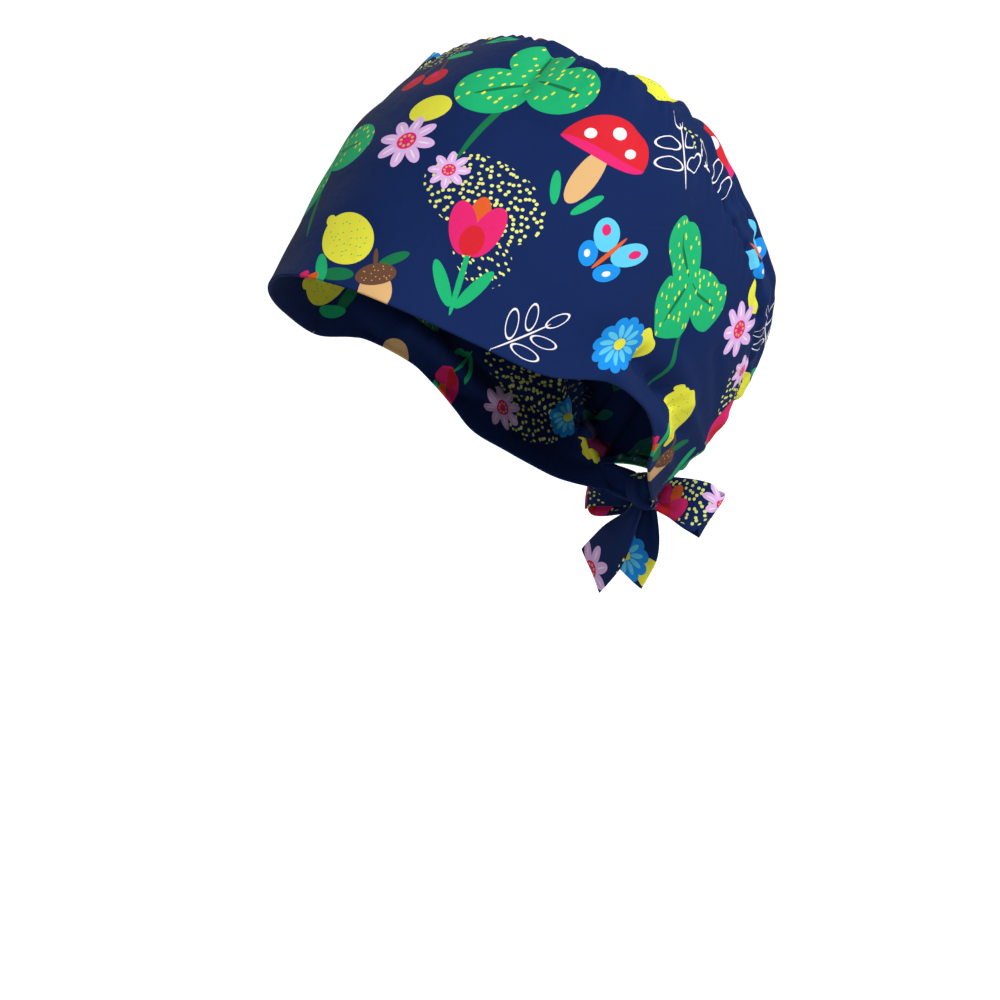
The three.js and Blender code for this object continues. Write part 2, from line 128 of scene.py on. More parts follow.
# Where the gathered crown draws the seam down: place from -1 to 1, breadth alike, depth in metres.
PINCHES = table(
    "place breadth depth",
    [[0.085, 0.03, 0.004], [-0.17, 0.035, 0.003], [0.3, 0.03, 0.0015], [-0.36, 0.03, 0.0015]],
)

# Low waves of the cloth, each its height times the product of two sines of the place. along, over and up
# are the lengths in metres by which x, y and z are divided, and NONE leaves one out. shift is added.
NONE = np.inf
WAVES = "high along over up shift second_along second_over second_up second_shift"
PANEL_WAVES = table(
    WAVES,
    [
        [0.0008, 0.013, 0.021, NONE, 0.7, NONE, -0.03, 0.017, 0],
        [0.00045, NONE, 0.009, 0.012, 0, 0.011, NONE, -0.019, 1.1],
    ],
)
CROWN_WAVES = table(
    WAVES,
    [
        [0.0013, 0.016, NONE, 0.023, 0.4, NONE, 0.014, -0.019, 0],
        [0.00065, 0.02, NONE, 0.009, 0, 0.017, 0.011, NONE, 2],
    ],
)

# Long soft folds of the crown, which run beside the seam: start and end are places along it, inward their
# distance in, and slope how much farther in they lie at the end. inward, slope and wide are shares of the
# way in, and high is in metres.
CROWN_FOLDS = table(
    "start end inward slope wide high",
    [
        [0.05, 0.62, 0.1, 0.05, 0.03, 0.0034],
        [0.18, 0.75, 0.19, 0.03, 0.032, -0.0034],
        [0.3, 0.95, 0.3, -0.08, 0.045, 0.0036],
        [-0.62, -0.06, 0.14, -0.04, 0.032, 0.0034],
        [-0.8, -0.2, 0.24, -0.03, 0.04, -0.0034],
        [-0.95, -0.3, 0.36, 0.05, 0.05, 0.0034],
    ],
)


def length_of(name, description, default):
    """A length that a user may change, in metres."""
    return FloatProperty(name=name, description=description, default=default, precision=4, unit="LENGTH")


def share_of(name, description, default):
    """A number without a unit that a user may change."""
    return FloatProperty(name=name, description=description, default=default, precision=3)


def power_of(name, description, default):
    """The power of a light that a user may change, in watts."""
    return FloatProperty(name=name, description=description, default=default, unit="POWER")


def from_screen(red, green, blue):
    """A colour given from 0 to 255, as linear light by the usual curve of screens."""
    shares = np.array([red, green, blue]) / 255
    linear = np.where(shares < 0.04045, shares / 12.92, ((shares + 0.055) / 1.055) ** 2.4)
    return tuple(linear.tolist())


# How much brighter than its own colour the cloth shows under the stage's lights.
LIT = 1.35


def colour_of(name, description, red, green, blue):
    """A colour that a user may change, given as it shows under the stage's lights."""
    linear = tuple(share / LIT for share in from_screen(red, green, blue))
    return FloatVectorProperty(
        name=name, description=description, default=linear, size=3, min=0, max=1, subtype="COLOR"
    )


class CapSizes(bpy.types.PropertyGroup):
    """The sizes of the two panels."""

    opening_width: length_of("Opening width", "Width of the head opening from ear to ear", 0.170)
    opening_depth: length_of("Opening depth", "Depth of the head opening from forehead to nape", 0.210)
    forehead_rise: length_of("Forehead rise", "Height of the rim at the forehead over the ear tops", 0.047)
    nape_drop: length_of("Nape drop", "Depth of the rim at the nape under the ear tops", 0.079)
    seam_width: length_of("Seam width", "Width across the seam between panel and crown", 0.176)
    seam_reach: length_of("Seam reach", "How far back the seam reaches", 0.108)
    seam_height: length_of("Seam height", "Height of the seam over the ear tops", 0.145)
    panel_bulge: length_of("Panel bulge", "How far the panel stands out from straight", 0.014)
    bulge_skew: share_of("Bulge skew", "How far up the panel's bulge sits", 1.3)
    pouch_depth: length_of("Pouch depth", "How far the crown stands out behind the seam", 0.062)
    panel_thickness: length_of("Panel thickness", "Thickness of the two folded layers", 0.0018)
    crown_thickness: length_of("Crown thickness", "Thickness of the crown with its soft body", 0.0008)
    gather_height: length_of("Gather height", "Height of the gathers at the seam", 0.0038)


class TieSizes(bpy.types.PropertyGroup):
    """The sizes of the ties and their bow."""

    tie_width: length_of("Tie width", "Width of a tie", 0.026)
    pinched_width: length_of("Pinched width", "Width of a tie at the knot", 0.013)
    tie_thickness: length_of("Tie thickness", "Thickness of a folded tie", 0.0016)
    loop_length: length_of("Loop length", "How far a loop reaches from the knot", 0.042)
    loop_opening: length_of("Loop opening", "How far a loop stands open", 0.011)
    loop_corner: length_of("Loop corner", "Radius of a loop's corners at its fold", 0.0042)
    tail_length: length_of("Tail length", "How far a tail hangs down", 0.040)
    knot_width: length_of("Knot width", "Width of the knot", 0.019)
    knot_depth: length_of("Knot depth", "Depth of the knot", 0.014)
    knot_height: length_of("Knot height", "Height of the knot", 0.018)
    knot_setback: length_of("Knot setback", "How far the knot lies behind the panel's ends", 0.007)


class PrintColours(bpy.types.PropertyGroup):
    """The colours of the cloth and its print."""

    ground: colour_of("Ground", "The navy of the cloth", 18, 43, 98)
    shade: colour_of("Shade", "The navy where the yarn is darker", 12, 35, 83)
    green: colour_of("Green", "Clover and large leaves", 30, 186, 118)
    deep_green: colour_of("Deep green", "Stems and small leaves", 22, 122, 74)
    lime: colour_of("Lime", "Lemons and flecks", 244, 242, 70)
    brown: colour_of("Brown", "Stems and acorn cups", 112, 76, 56)
    tan: colour_of("Tan", "Acorns and toadstool stems", 232, 186, 126)
    red: colour_of("Red", "Toadstools and cherries", 222, 38, 52)
    pink: colour_of("Pink", "Tulips and daisy hearts", 236, 40, 116)
    lilac: colour_of("Lilac", "Daisy petals", 238, 192, 248)
    sky: colour_of("Sky", "Butterfly wings", 100, 210, 246)
    blue: colour_of("Blue", "Round blooms", 28, 150, 240)
    orange: colour_of("Orange", "Tulip hearts", 232, 98, 44)
    white: colour_of("White", "Leaf outlines", 252, 246, 252)
    cream: colour_of("Cream", "Specks", 236, 240, 132)


class StageLook(bpy.types.PropertyGroup):
    """The floor, the lights and the camera."""

    floor_drop: length_of("Floor drop", "How far the floor lies under the ear tops", 0.42)
    key_power: power_of("Key power", "Power of the soft main light", 59)
    fill_power: power_of("Fill power", "Power of the light from the front", 5)
    back_power: power_of("Back power", "Power of the light from behind", 16)
    side_power: power_of("Side power", "Power of the light from the wearer's right", 14)
    sky_strength: share_of("Sky strength", "Strength of the even light all round", 0.22)
    floor_glow: share_of("Floor glow", "How much light the floor adds to what falls on it", 0.0)
    floor_seen: share_of("Floor seen", "The same, as the camera sees it", 1.0)
    view_distance: length_of("View distance", "Distance of the camera", 2.0)
    lens: FloatProperty(name="Lens", description="Focal length", default=155.5, unit="CAMERA")


def unit(vectors):
    """Vectors at length one."""
    return vectors / np.maximum(np.linalg.norm(vectors, axis=-1, keepdims=True), 1e-12)


def dot(a, b):
    """The scalar product of two arrays of vectors, kept as a last axis of one."""
    return np.sum(a * b, axis=-1, keepdims=True)


def smoothstep(value, low, high):
    """0 below low, 1 above high, and 3s^2 - 2s^3 between them."""
    share = np.clip((value - low) / (high - low), 0, 1)
    return share * share * (3 - 2 * share)


def column_at(name, place, sideways=False):
    """A column of SECTIONS at places from -1 to 1: a cubic through its rows, mirrored at the middle, where
    a sideways column changes sign."""
    column = SECTIONS[name]
    last = len(column) - 1
    flip = -1 if sideways else 1
    padded = np.concatenate([[flip * column[1]], column, [2 * column[-1] - column[-2]]])
    at = np.minimum(np.abs(place), 1) * last
    row = np.minimum(np.floor(at).astype(int), last - 1)
    t = at - row
    a, b, c, d = padded[row], padded[row + 1], padded[row + 2], padded[row + 3]
    value = (
        (2 * t**3 - 3 * t**2 + 1) * b
        + (t**3 - 2 * t**2 + t) * (c - a) / 2
        + (3 * t**2 - 2 * t**3) * c
        + (t**3 - t**2) * (d - b) / 2
    )
    return np.sign(place) * value if sideways else value


def rim_line(sizes, place):
    """The panel's lower edge: the shares of SECTIONS times the opening's half width, half depth, rise and
    drop."""
    return np.stack(
        [
            column_at("rimX", place, True) * sizes.opening_width / 2,
            column_at("rimY", place) * sizes.opening_depth / 2,
            column_at("rimUp", place) * sizes.forehead_rise - column_at("rimDown", place) * sizes.nape_drop,
        ],
        -1,
    )


def seam_line(sizes, place):
    """The panel's upper edge: the shares of SECTIONS times the seam's sizes, less a bell curve for each
    pinch."""
    drawn = 0
    for at, breadth, depth in zip(*PINCHES.values()):
        drawn = drawn + depth * np.exp(-(((place - at) / breadth) ** 2))
    return np.stack(
        [
            column_at("seamX", place, True) * sizes.seam_width / 2,
            column_at("seamY", place) * sizes.seam_reach,
            column_at("seamUp", place) * sizes.seam_height
            - column_at("seamDown", place) * sizes.nape_drop
            - drawn,
        ],
        -1,
    )


def smooth_panel(sizes, place, rise):
    """The panel without folds: straight from rim to seam, plus 4s(1 - s) of the bulge square to that line,
    where s is the rise to the power of the skew."""
    place, rise = np.broadcast_arrays(place, rise)
    rim, seam = rim_line(sizes, place), seam_line(sizes, place)
    middle = (rim + seam) / 2
    chord = unit(seam - rim)
    heart = np.zeros_like(middle)
    heart[..., 2] = np.minimum(sizes.forehead_rise, middle[..., 2])
    out = middle - heart
    out = unit(out - dot(out, chord) * chord)
    skewed = rise**sizes.bulge_skew
    push = 4 * skewed * (1 - skewed) * column_at("bulge", place) * sizes.panel_bulge
    return rim + (seam - rim) * rise[..., None] + out * push[..., None]


def fold_push(points, starts, ends, wide, high):
    """The height of straight folds at points: high times a bell curve of the distance to each fold's
    line."""
    push = np.zeros(points.shape[:-1])
    for start, end, breadth, height in zip(starts, ends, wide, high):
        along = end - start
        share = np.clip(((points - start) @ along) / (along @ along), 0, 1)
        distance = np.linalg.norm(points - start - share[..., None] * along, axis=-1)
        push += height * np.exp(-((distance / breadth) ** 2))
    return push


def low_waves(points, waves):
    """The height of the waves of a table at points."""
    total = 0
    for high, *numbers in zip(*waves.values()):
        first, second = (
            np.sin(points @ (1 / np.array(lengths)) + shift)
            for *lengths, shift in (numbers[:4], numbers[4:])
        )
        total = total + high * first * second
    return total


# Half the panel's run from end to end, and the puckers along its seam, all in metres.
PANEL_RUN = 0.33
PUCKER = {"spacing": 0.0094, "height": 0.00055, "reach": 0.008}


def panel_surface(sizes, place, rise):
    """The panel's outside: the smooth panel pushed out by its folds, by low waves, and by puckers, a sine
    along the seam whose height falls off away from it. Out is away from the head's upright axis, and up by
    half as much as a point lies over the ear tops."""
    points = smooth_panel(sizes, place, rise)
    away = points.copy()
    away[..., 2] = np.maximum(0, away[..., 2]) / 2
    away = unit(away)
    push = np.zeros(points.shape[:-1])
    folds = PAIRED_FOLDS
    for side in (-1, 1):
        starts = smooth_panel(sizes, side * folds["from_place"], folds["from_rise"])
        ends = smooth_panel(sizes, side * folds["to_place"], folds["to_rise"])
        on_side = np.sign(place + 1e-9) == side
        push += np.where(on_side, fold_push(points, starts, ends, folds["wide"], folds["high"]), 0)
    folds = FINE_FOLDS
    starts = smooth_panel(sizes, folds["from_place"], folds["from_rise"])
    ends = smooth_panel(sizes, folds["to_place"], folds["to_rise"])
    push += fold_push(points, starts, ends, folds["wide"], folds["high"])
    edge = smooth_panel(sizes, place, np.ones_like(rise))
    to_seam = np.linalg.norm(edge - points, axis=-1)
    turns = 2 * np.pi * place * PANEL_RUN
    phase = turns / PUCKER["spacing"] + 1.9 * np.sin(turns / 0.061) + np.sin(turns / 0.037)
    push += PUCKER["height"] * np.sin(phase) * np.exp(-to_seam / PUCKER["reach"])
    push += low_waves(points, PANEL_WAVES)
    return points + away * push[..., None]


def grid_normals(grid, closed):
    """Unit normals of a grid of points, from the differences between neighbours along both of its ways."""
    if closed:
        along = np.roll(grid, -1, 0) - np.roll(grid, 1, 0)
    else:
        along = np.gradient(grid, axis=0)
    return unit(np.cross(along, np.gradient(grid, axis=1)))


def arc_lengths(grid, axis):
    """How far each point lies along its line from the line's start."""
    steps = np.linalg.norm(np.diff(grid, axis=axis), axis=-1)
    start = np.zeros_like(np.take(steps, [0], axis))
    return np.concatenate([start, np.cumsum(steps, axis)], axis)


def grid_faces(rows, columns, closed_rows=False, closed_columns=False):
    """The four-cornered faces between neighbours of a grid of points, numbered row by row."""
    i = np.arange(rows if closed_rows else rows - 1)[:, None]
    j = np.arange(columns if closed_columns else columns - 1)[None, :]
    below, beside = (i + 1) % rows, (j + 1) % columns
    corners = [i * columns + j, below * columns + j, below * columns + beside, i * columns + beside]
    return np.stack([np.broadcast_to(c, (i.size, j.size)) for c in corners], -1).reshape(-1, 4)


ROUND_STEPS = np.radians([22.5, 45, 67.5])


def rounded_edge(middle, normals, outward, thickness):
    """A half round from the outside of an edge to its inside: the middle plus half the thickness, turned
    from the normal through the outward way to the normal's back."""
    turns = np.concatenate([ROUND_STEPS, [np.pi / 2], np.pi - ROUND_STEPS[::-1]])[None, :, None]
    return middle[:, None] + thickness / 2 * (
        np.cos(turns) * normals[:, None] + np.sin(turns) * outward[:, None]
    )


def edge_way(grid, normals, first, second):
    """The way that points out of a grid's edge: from its second line to its first, made square to the
    normals."""
    way = grid[:, first] - grid[:, second]
    return unit(way - dot(way, normals[:, first]) * normals[:, first])


def add_mesh(name, points, faces, layout, materials, slots=None):
    """A mesh object from points, faces and a layout in metres for each point, shaded smooth, at the
    origin."""
    mesh = bpy.data.meshes.new(name)
    mesh.from_pydata(points.tolist(), [], faces)
    corners = np.empty(len(mesh.loops), np.int32)
    mesh.loops.foreach_get("vertex_index", corners)
    mesh.uv_layers.new(name="cloth").data.foreach_set("uv", layout[corners].astype(np.float32).ravel())
    mesh.polygons.foreach_set("use_smooth", np.ones(len(mesh.polygons), bool))
    for material in materials:
        mesh.materials.append(material)
    if slots is not None:
        mesh.polygons.foreach_set("material_index", slots.astype(np.int32))
    mesh.update()
    if mesh.validate():
        raise RuntimeError(f"{name}: the mesh had faces that are not valid")
    piece = bpy.data.objects.new(name, mesh)
    bpy.context.scene.collection.objects.link(piece)
    return piece


def dress(piece, node):
    """The piece stands for a CAD node, which is hidden, and rides on the body."""
    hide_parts(node)
    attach(piece, "root")


def turned_out(points, faces):
    """The faces, all turned over if together they enclose a negative volume."""
    volume = sum(
        float(np.sum(points[f[:, 0]] * np.cross(points[f[:, k]], points[f[:, k + 1]])))
        for f in faces
        for k in range(1, f.shape[1] - 1)
    )
    return [row for f in faces for row in (f if volume > 0 else f[:, ::-1]).tolist()]


def fan(start, count, columns):
    """Triangles from the first of a run of neighbouring numbers, which may wrap at columns, to the
    others."""
    numbers = (start + np.arange(count)) % columns
    return np.stack([np.full(count - 2, numbers[0]), numbers[1:-1], numbers[2:]], 1)


PANEL_ROWS = 560
PANEL_COLUMNS = 64


def build_panel(context):
    """The folded front panel: its outside, a half round at the seam, its inside, and a half round at the
    rim, as one closed profile carried from one nape end to the other, with both ends closed."""
    sizes = context.scene.scrub_cap_sizes
    place = np.linspace(-1, 1, PANEL_ROWS + 1)[:, None]
    rise = np.linspace(0, 1, PANEL_COLUMNS + 1)[None, :]
    place, rise = np.broadcast_arrays(place, rise)
    outer = panel_surface(sizes, place, rise)
    normals = grid_normals(outer, False)
    thick = sizes.panel_thickness
    middle = outer - normals * thick / 2
    inner = outer - normals * thick
    seam = rounded_edge(middle[:, -1], normals[:, -1], edge_way(outer, normals, -1, -2), thick)
    rim = rounded_edge(middle[:, 0], -normals[:, 0], edge_way(outer, normals, 0, 1), thick)
    grid = np.concatenate([outer, seam, inner[:, ::-1], rim], 1)
    rows, columns = grid.shape[:2]

    across = arc_lengths(outer, 1)
    along = arc_lengths(outer, 0)
    run = (along + along[:, PANEL_COLUMNS // 2, None]) / 2
    run = run - run[rows // 2]
    seam_run = across[:, -1:] + thick * np.arange(1, seam.shape[1] + 1) * 0.2
    over = np.concatenate([across, seam_run, -across[:, ::-1], np.zeros((rows, rim.shape[1]))], 1)
    at_seam, at_rim = np.repeat(run[:, -1:], seam.shape[1], 1), np.repeat(run[:, :1], rim.shape[1], 1)
    beside = np.concatenate([run, at_seam, run[:, ::-1], at_rim], 1)

    # Each end is closed between the outside's lines and their partners on the inside.
    sides = np.arange(PANEL_COLUMNS)
    partner = 2 * PANEL_COLUMNS + 1 + seam.shape[1] - sides
    closings = [
        np.stack([sides, sides + 1, partner - 1, partner], 1),
        fan(PANEL_COLUMNS, seam.shape[1] + 2, columns),
        fan(columns - rim.shape[1] - 1, rim.shape[1] + 2, columns),
    ]
    far_end = columns * (rows - 1)
    faces = [grid_faces(rows, columns, closed_columns=True), *closings]
    faces += [part[:, ::-1] + far_end for part in closings]
    points = grid.reshape(-1, 3)
    layout = np.stack([beside, over], -1).reshape(-1, 2)
    cloth = cloth_material(context, "printed_cotton")
    panel = add_mesh("front_band", points, turned_out(points, faces), layout, [cloth])
    dress(panel, "front_panel")


CROWN_AROUND = 520
NAPE_AROUND = 44
CROWN_COLUMNS = 76
NAPE_SHARE = 0.12


def crown_frame(sizes):
    """The crown's frame: its heart, half way up the loop of the seam, the axis from nape to top, and
    backward."""
    top, nape = seam_line(sizes, np.array([0.0, 1.0]))
    low = np.array([0, nape[1], nape[2]])
    axis = unit(top - low)
    heart = (low + top) / 2 + np.array([0, 0.08 * sizes.seam_reach, 0])
    return heart, axis, -np.cross([1.0, 0, 0], axis)


def crown_surface(sizes, place, across, inward):
    """The crown's outside without its fine gathers: a ring point's way from the heart, times the cosine of
    the turn, plus the pouch's depth times a rounded lift. The turn grows from the seam to the pole, and the
    roundness goes from the seam's own to a circle's at the pole."""
    heart, axis, backward = crown_frame(sizes)
    ring = seam_line(sizes, place)
    bow = np.sin(np.pi * across)
    ring[..., 0] *= 1 - 2 * across
    ring[..., 1] += 0.02 * sizes.seam_reach * bow
    ring[..., 2] += 0.03 * sizes.nape_drop * bow
    full = column_at("full", place)
    turn = np.pi / 2 * inward ** (full / 2)
    share = np.cos(turn)
    away = ring - heart
    depth = away @ backward
    flat = away - depth[..., None] * backward
    roundness = 2 + (full - 2) * share**2
    lift = np.maximum(0, 1 - share**roundness) ** (1 / roundness)
    spread = share + column_at("over", place) * np.sin(turn) * share**3
    out = depth * share**2 + sizes.pouch_depth * lift
    points = heart + flat * spread[..., None] + backward * out[..., None]
    around = (place + 1 + across * NAPE_SHARE) / (2 + NAPE_SHARE)
    return points, around, np.arctan2(flat @ axis, flat[..., 0])


# The run round the seam in metres, and the single gathers along it.
SEAM_RUN = 0.62
GATHERS = 58
GATHER_SEED = 11

# The least and the most of what differs from gather to gather: how far it is moved along the seam, as a
# share of the step to the next, its breadth and its length in metres, its height and its bend.
GATHER_RANGES = [(-0.38, 0.38), (0.0028, 0.0058), (0.014, 0.042), (0.45, 1.0), (-0.25, 0.25)]


def gather_folds(around, from_seam, near_top, near_nape):
    """The single folds of the gathers, as shares of the gathers' height: each is a bell curve across, at its
    own place round the seam, that bends a little, widens on its way in and fades after its own length. Each
    third one is longer."""
    dice = np.random.default_rng(GATHER_SEED)
    shifts, breadths, lengths, heights, bends = (dice.uniform(*ends, GATHERS) for ends in GATHER_RANGES)
    places = (np.arange(GATHERS) + shifts) / GATHERS
    lengths = lengths * np.where(np.arange(GATHERS) % 3 == 0, 1.7, 1)
    reach = 1 + 0.25 * near_top + 0.6 * near_nape
    total = np.zeros(around.shape)
    for place, breadth, length, height, bend in zip(places, breadths, lengths, heights, bends):
        off = np.mod(around - place + 0.5, 1) - 0.5
        off = off * SEAM_RUN - bend * from_seam
        wide = breadth * (1 + 18 * from_seam)
        total += height * np.exp(-((off / wide) ** 2)) * np.exp(-((from_seam / (length * reach)) ** 2))
    return total


# The fine ridges, the gathers and the pleats across the nape: their numbers, and in metres how far in they
# reach. Then the groove: how far in its middle lies, its depth, and what both gain behind the ears.
RIDGES = 88
RIDGE_REACH = 0.011
GATHER_REACH = 0.09
PLEATS = 7.3
PLEAT_REACH = 0.03
GROOVE = {"middle": 0.0026, "depth": 0.0022, "added": 0.0045}


def seam_gathers(place, across, around, from_seam):
    """The gathers as shares of their height: fine ridges right at the seam, which swell and fade round it,
    and single folds that run in from it, both stronger at the top and the nape."""
    turns = 2 * np.pi * around
    warp = 1.3 * np.sin(3 * turns + 0.6) + 0.9 * np.sin(7 * turns + 2.1) + 0.5 * np.sin(11 * turns)
    near_top = np.exp(-((place / 0.32) ** 2))
    near_nape = np.where(across > 0, 1, smoothstep(np.abs(place), 0.72, 1))
    strength = 0.42 + 0.6 * near_top + 0.55 * near_nape
    uneven = 0.75 + 0.35 * np.sin(9 * turns + 1.4) * np.sin(4 * turns + 0.3) + 0.25 * np.sin(19 * turns)
    ridges = np.abs(np.sin(np.pi * RIDGES * around + warp)) ** 0.7
    ridges = 0.5 * ridges * strength * uneven * np.exp(-((from_seam / RIDGE_REACH) ** 1.2))
    folds = gather_folds(around, from_seam, near_top, near_nape) - 0.35
    return ridges + folds * (0.3 + strength) * np.exp(-((from_seam / GATHER_REACH) ** 2))


def nape_pleats(across, from_seam, from_corner):
    """Pleats that fan out up from the hem across the nape, of uneven height and length, as shares of the
    gathers' height."""
    fan_out = PLEATS * across + 0.4 * np.sin(6 * across) + 9 * from_seam * (across - 0.5)
    pleats = np.abs(np.sin(np.pi * fan_out)) ** 0.8 * (0.7 + 0.3 * np.sin(17 * across + 1)) * from_corner
    reach = PLEAT_REACH + 0.012 * np.sin(9 * across)
    return 0.6 * pleats * np.exp(-((from_seam / reach) ** 1.4))


def crown_push(sizes, place, across, around, inward, from_seam, points):
    """How far the crown's cloth stands off its smooth shape: gathers at the seam, pleats at the nape, long
    folds beside the seam, low waves, and a groove behind the panel's edge that is deepest behind the
    ears."""
    from_corner = smoothstep(np.minimum(across, 1 - across), 0, 0.14)
    gathers = seam_gathers(place, across, around, from_seam) + nape_pleats(across, from_seam, from_corner)
    push = sizes.gather_height * gathers * smoothstep(from_seam, 0, 0.004)
    for begin, end, at, slope, wide, high in zip(*CROWN_FOLDS.values()):
        share = np.clip((place - begin) / (end - begin), 0, 1)
        height = high * np.sin(np.pi * share) ** 0.7 * (across == 0)
        push += height * np.exp(-(((inward - at - slope * share) / wide) ** 2))
    push += low_waves(points, CROWN_WAVES) * smoothstep(from_seam, 0, 0.02)
    behind_ear = np.exp(-(((np.abs(place) - 0.87) / 0.09) ** 2)) * (1 - from_corner)
    middle = GROOVE["middle"] + GROOVE["added"] * behind_ear
    depth = GROOVE["depth"] + GROOVE["added"] * behind_ear
    groove = depth * np.exp(-(((from_seam - middle) / (middle * 0.75)) ** 2))
    return push - groove * smoothstep(from_seam, 0, 0.0012)


# How far below the crown's edge each line of its seam allowance lies, in metres.
TUCK = np.array([0.003, 0.002, 0.001])


def tucked_edge(sizes, place, across, smooth):
    """How the crown's edge follows the panel. The first result moves the smooth edge to the middle of the
    panel's two layers, and the second leads from there to the seam allowance between them. Across the nape
    both go from one end's to the other's, and the allowance becomes a hem that carries the crown's own
    slope on."""
    height = np.linalg.norm(seam_line(sizes, place) - rim_line(sizes, place), axis=-1)
    rise = 1 - np.append(TUCK, 0) / height[:, None]
    edge = panel_surface(sizes, np.broadcast_to(place[:, None], rise.shape), rise)
    edge = edge - grid_normals(edge, False) * (sizes.panel_thickness - sizes.crown_thickness) / 2
    shift = edge[:, -1] - seam_line(sizes, place)
    below = edge[:, :-1] - edge[:, -1:]
    nape = across > 0
    share = across[nape, None]
    shift[nape] = shift[CROWN_AROUND] * (1 - share) + shift[0] * share
    ends = below[CROWN_AROUND] * (1 - share[..., None]) + below[0] * share[..., None]
    way = edge_way(smooth, grid_normals(smooth, True), 0, 1)[nape]
    hem = way[:, None] * TUCK[:, None]
    own = smoothstep(share, 0, 0.15) * smoothstep(1 - share, 0, 0.15)
    below[nape] = ends + (hem - ends) * own[..., None]
    return shift, below


def build_crown(context):
    """The gathered crown: lines from the ring of the seam to one pole, its inside, a half round at the seam
    and its outside, closed at the two poles."""
    sizes = context.scene.scrub_cap_sizes
    along = np.linspace(-1, 1, CROWN_AROUND + 1)
    nape = np.arange(1, NAPE_AROUND) / NAPE_AROUND
    place = np.concatenate([along, np.ones_like(nape)])[:, None]
    across = np.concatenate([np.zeros_like(along), nape])[:, None]
    inward = (np.arange(CROWN_COLUMNS) / CROWN_COLUMNS)[None, :] ** 1.1
    place, across, inward = np.broadcast_arrays(place, across, inward)
    smooth, around, angle = crown_surface(sizes, place, across, inward)
    from_seam = arc_lengths(smooth, 1)
    push = crown_push(sizes, place, across, around, inward, from_seam, smooth)
    shift, below = tucked_edge(sizes, place[:, 0], across[:, 0], smooth)
    follow = np.exp(-((from_seam / 0.014) ** 2))[..., None]
    outer = smooth + shift[:, None] * follow + grid_normals(smooth, True) * push[..., None]
    outer = np.concatenate([outer[:, :1] + below, outer], 1)
    from_seam = np.concatenate([np.broadcast_to(-TUCK, below.shape[:2]), from_seam], 1)
    normals = grid_normals(outer, True)
    thick = sizes.crown_thickness
    inner = outer - normals * thick
    edge_middle = outer[:, 0] - normals[:, 0] * thick / 2
    edge = rounded_edge(edge_middle, -normals[:, 0], edge_way(outer, normals, 0, 1), thick)
    grid = np.concatenate([inner[:, ::-1], edge, outer], 1)
    rows, columns = grid.shape[:2]
    heart, _, backward = crown_frame(sizes)
    pole = heart + backward * (sizes.pouch_depth + push[:, -1].mean())

    radius = from_seam[:, -1:] + np.linalg.norm(pole - outer[:, -1], axis=-1)[:, None] - from_seam
    flat = radius[..., None] * np.stack([np.cos(angle), np.sin(angle)], -1)[:, :1]
    layout = np.concatenate([flat[:, ::-1], np.repeat(flat[:, :1], edge.shape[1], 1), flat], 1)

    points = np.concatenate([grid.reshape(-1, 3), [pole - backward * thick, pole]])
    layout = np.concatenate([layout.reshape(-1, 2), np.zeros((2, 2))])
    stations = np.arange(rows) * columns
    nexts = np.roll(stations, -1)
    first_pole, last_pole = np.full(rows, rows * columns), np.full(rows, rows * columns + 1)
    faces = [
        grid_faces(rows, columns, closed_rows=True),
        np.stack([nexts, stations, first_pole], 1),
        np.stack([stations + columns - 1, nexts + columns - 1, last_pole], 1),
    ]
    inside = np.broadcast_to(np.arange(columns - 1) < outer.shape[1], (rows, columns - 1)).ravel()
    slots = np.concatenate([inside, np.ones(rows), np.zeros(rows)])
    cloth = cloth_material(context, "printed_cotton_crown")
    reverse = cloth_material(context, "printed_cotton_reverse", faint=0.72)
    crown = add_mesh("crown_pouch", points, turned_out(points, faces), layout, [cloth, reverse], slots)
    dress(crown, "crown_panel")


SECTION_POINTS = 36


def strap(middles, sides, widths, thickness, ripple):
    """A flat strap with rounded edges: a squared ring of half the width and half the thickness, carried
    along its middles, with a ripple that pushes both of its faces alike. Both ends are closed."""
    turns = np.linspace(0, 2 * np.pi, SECTION_POINTS, endpoint=False)
    flat = np.sign(np.cos(turns)) * np.abs(np.cos(turns)) ** 0.6
    high = np.sign(np.sin(turns)) * np.abs(np.sin(turns)) ** 0.8
    tangents = unit(np.gradient(middles, axis=0))
    sides = unit(sides - dot(sides, tangents) * tangents)
    normals = np.cross(tangents, sides)
    run = arc_lengths(middles, 0)
    rows = len(middles)
    share = np.broadcast_to(flat[None, :], (rows, SECTION_POINTS))
    wave = ripple(share, (run / run[-1])[:, None])
    grid = (
        middles[:, None]
        + sides[:, None] * (share * widths[:, None] / 2)[..., None]
        + normals[:, None] * (high[None, :] * thickness / 2 + wave)[..., None]
    )
    points = np.concatenate([grid.reshape(-1, 3), [middles[0], middles[-1]]])
    layout = np.stack(np.broadcast_arrays(share * widths.max() / 2, run[:, None]), -1).reshape(-1, 2)
    layout = np.concatenate([layout, [[0, run[0]], [0, run[-1]]]])
    ring = np.arange(SECTION_POINTS)
    nexts = np.roll(ring, -1)
    last = (rows - 1) * SECTION_POINTS
    centre = np.full(SECTION_POINTS, rows * SECTION_POINTS)
    faces = [
        grid_faces(rows, SECTION_POINTS, closed_columns=True),
        np.stack([ring, nexts, centre], 1),
        np.stack([nexts + last, ring + last, centre + 1], 1),
    ]
    return points, faces, layout, run[-1]


def bezier(corners, t):
    """A curve with four corners: their weighted sum with the weights (1-t)^3, 3t(1-t)^2, 3t^2(1-t) and
    t^3."""
    t = t[:, None]
    a, b, c, d = (np.array(corner, float) for corner in corners)
    return (1 - t) ** 3 * a + 3 * t * (1 - t) ** 2 * b + 3 * t**2 * (1 - t) * c + t**3 * d


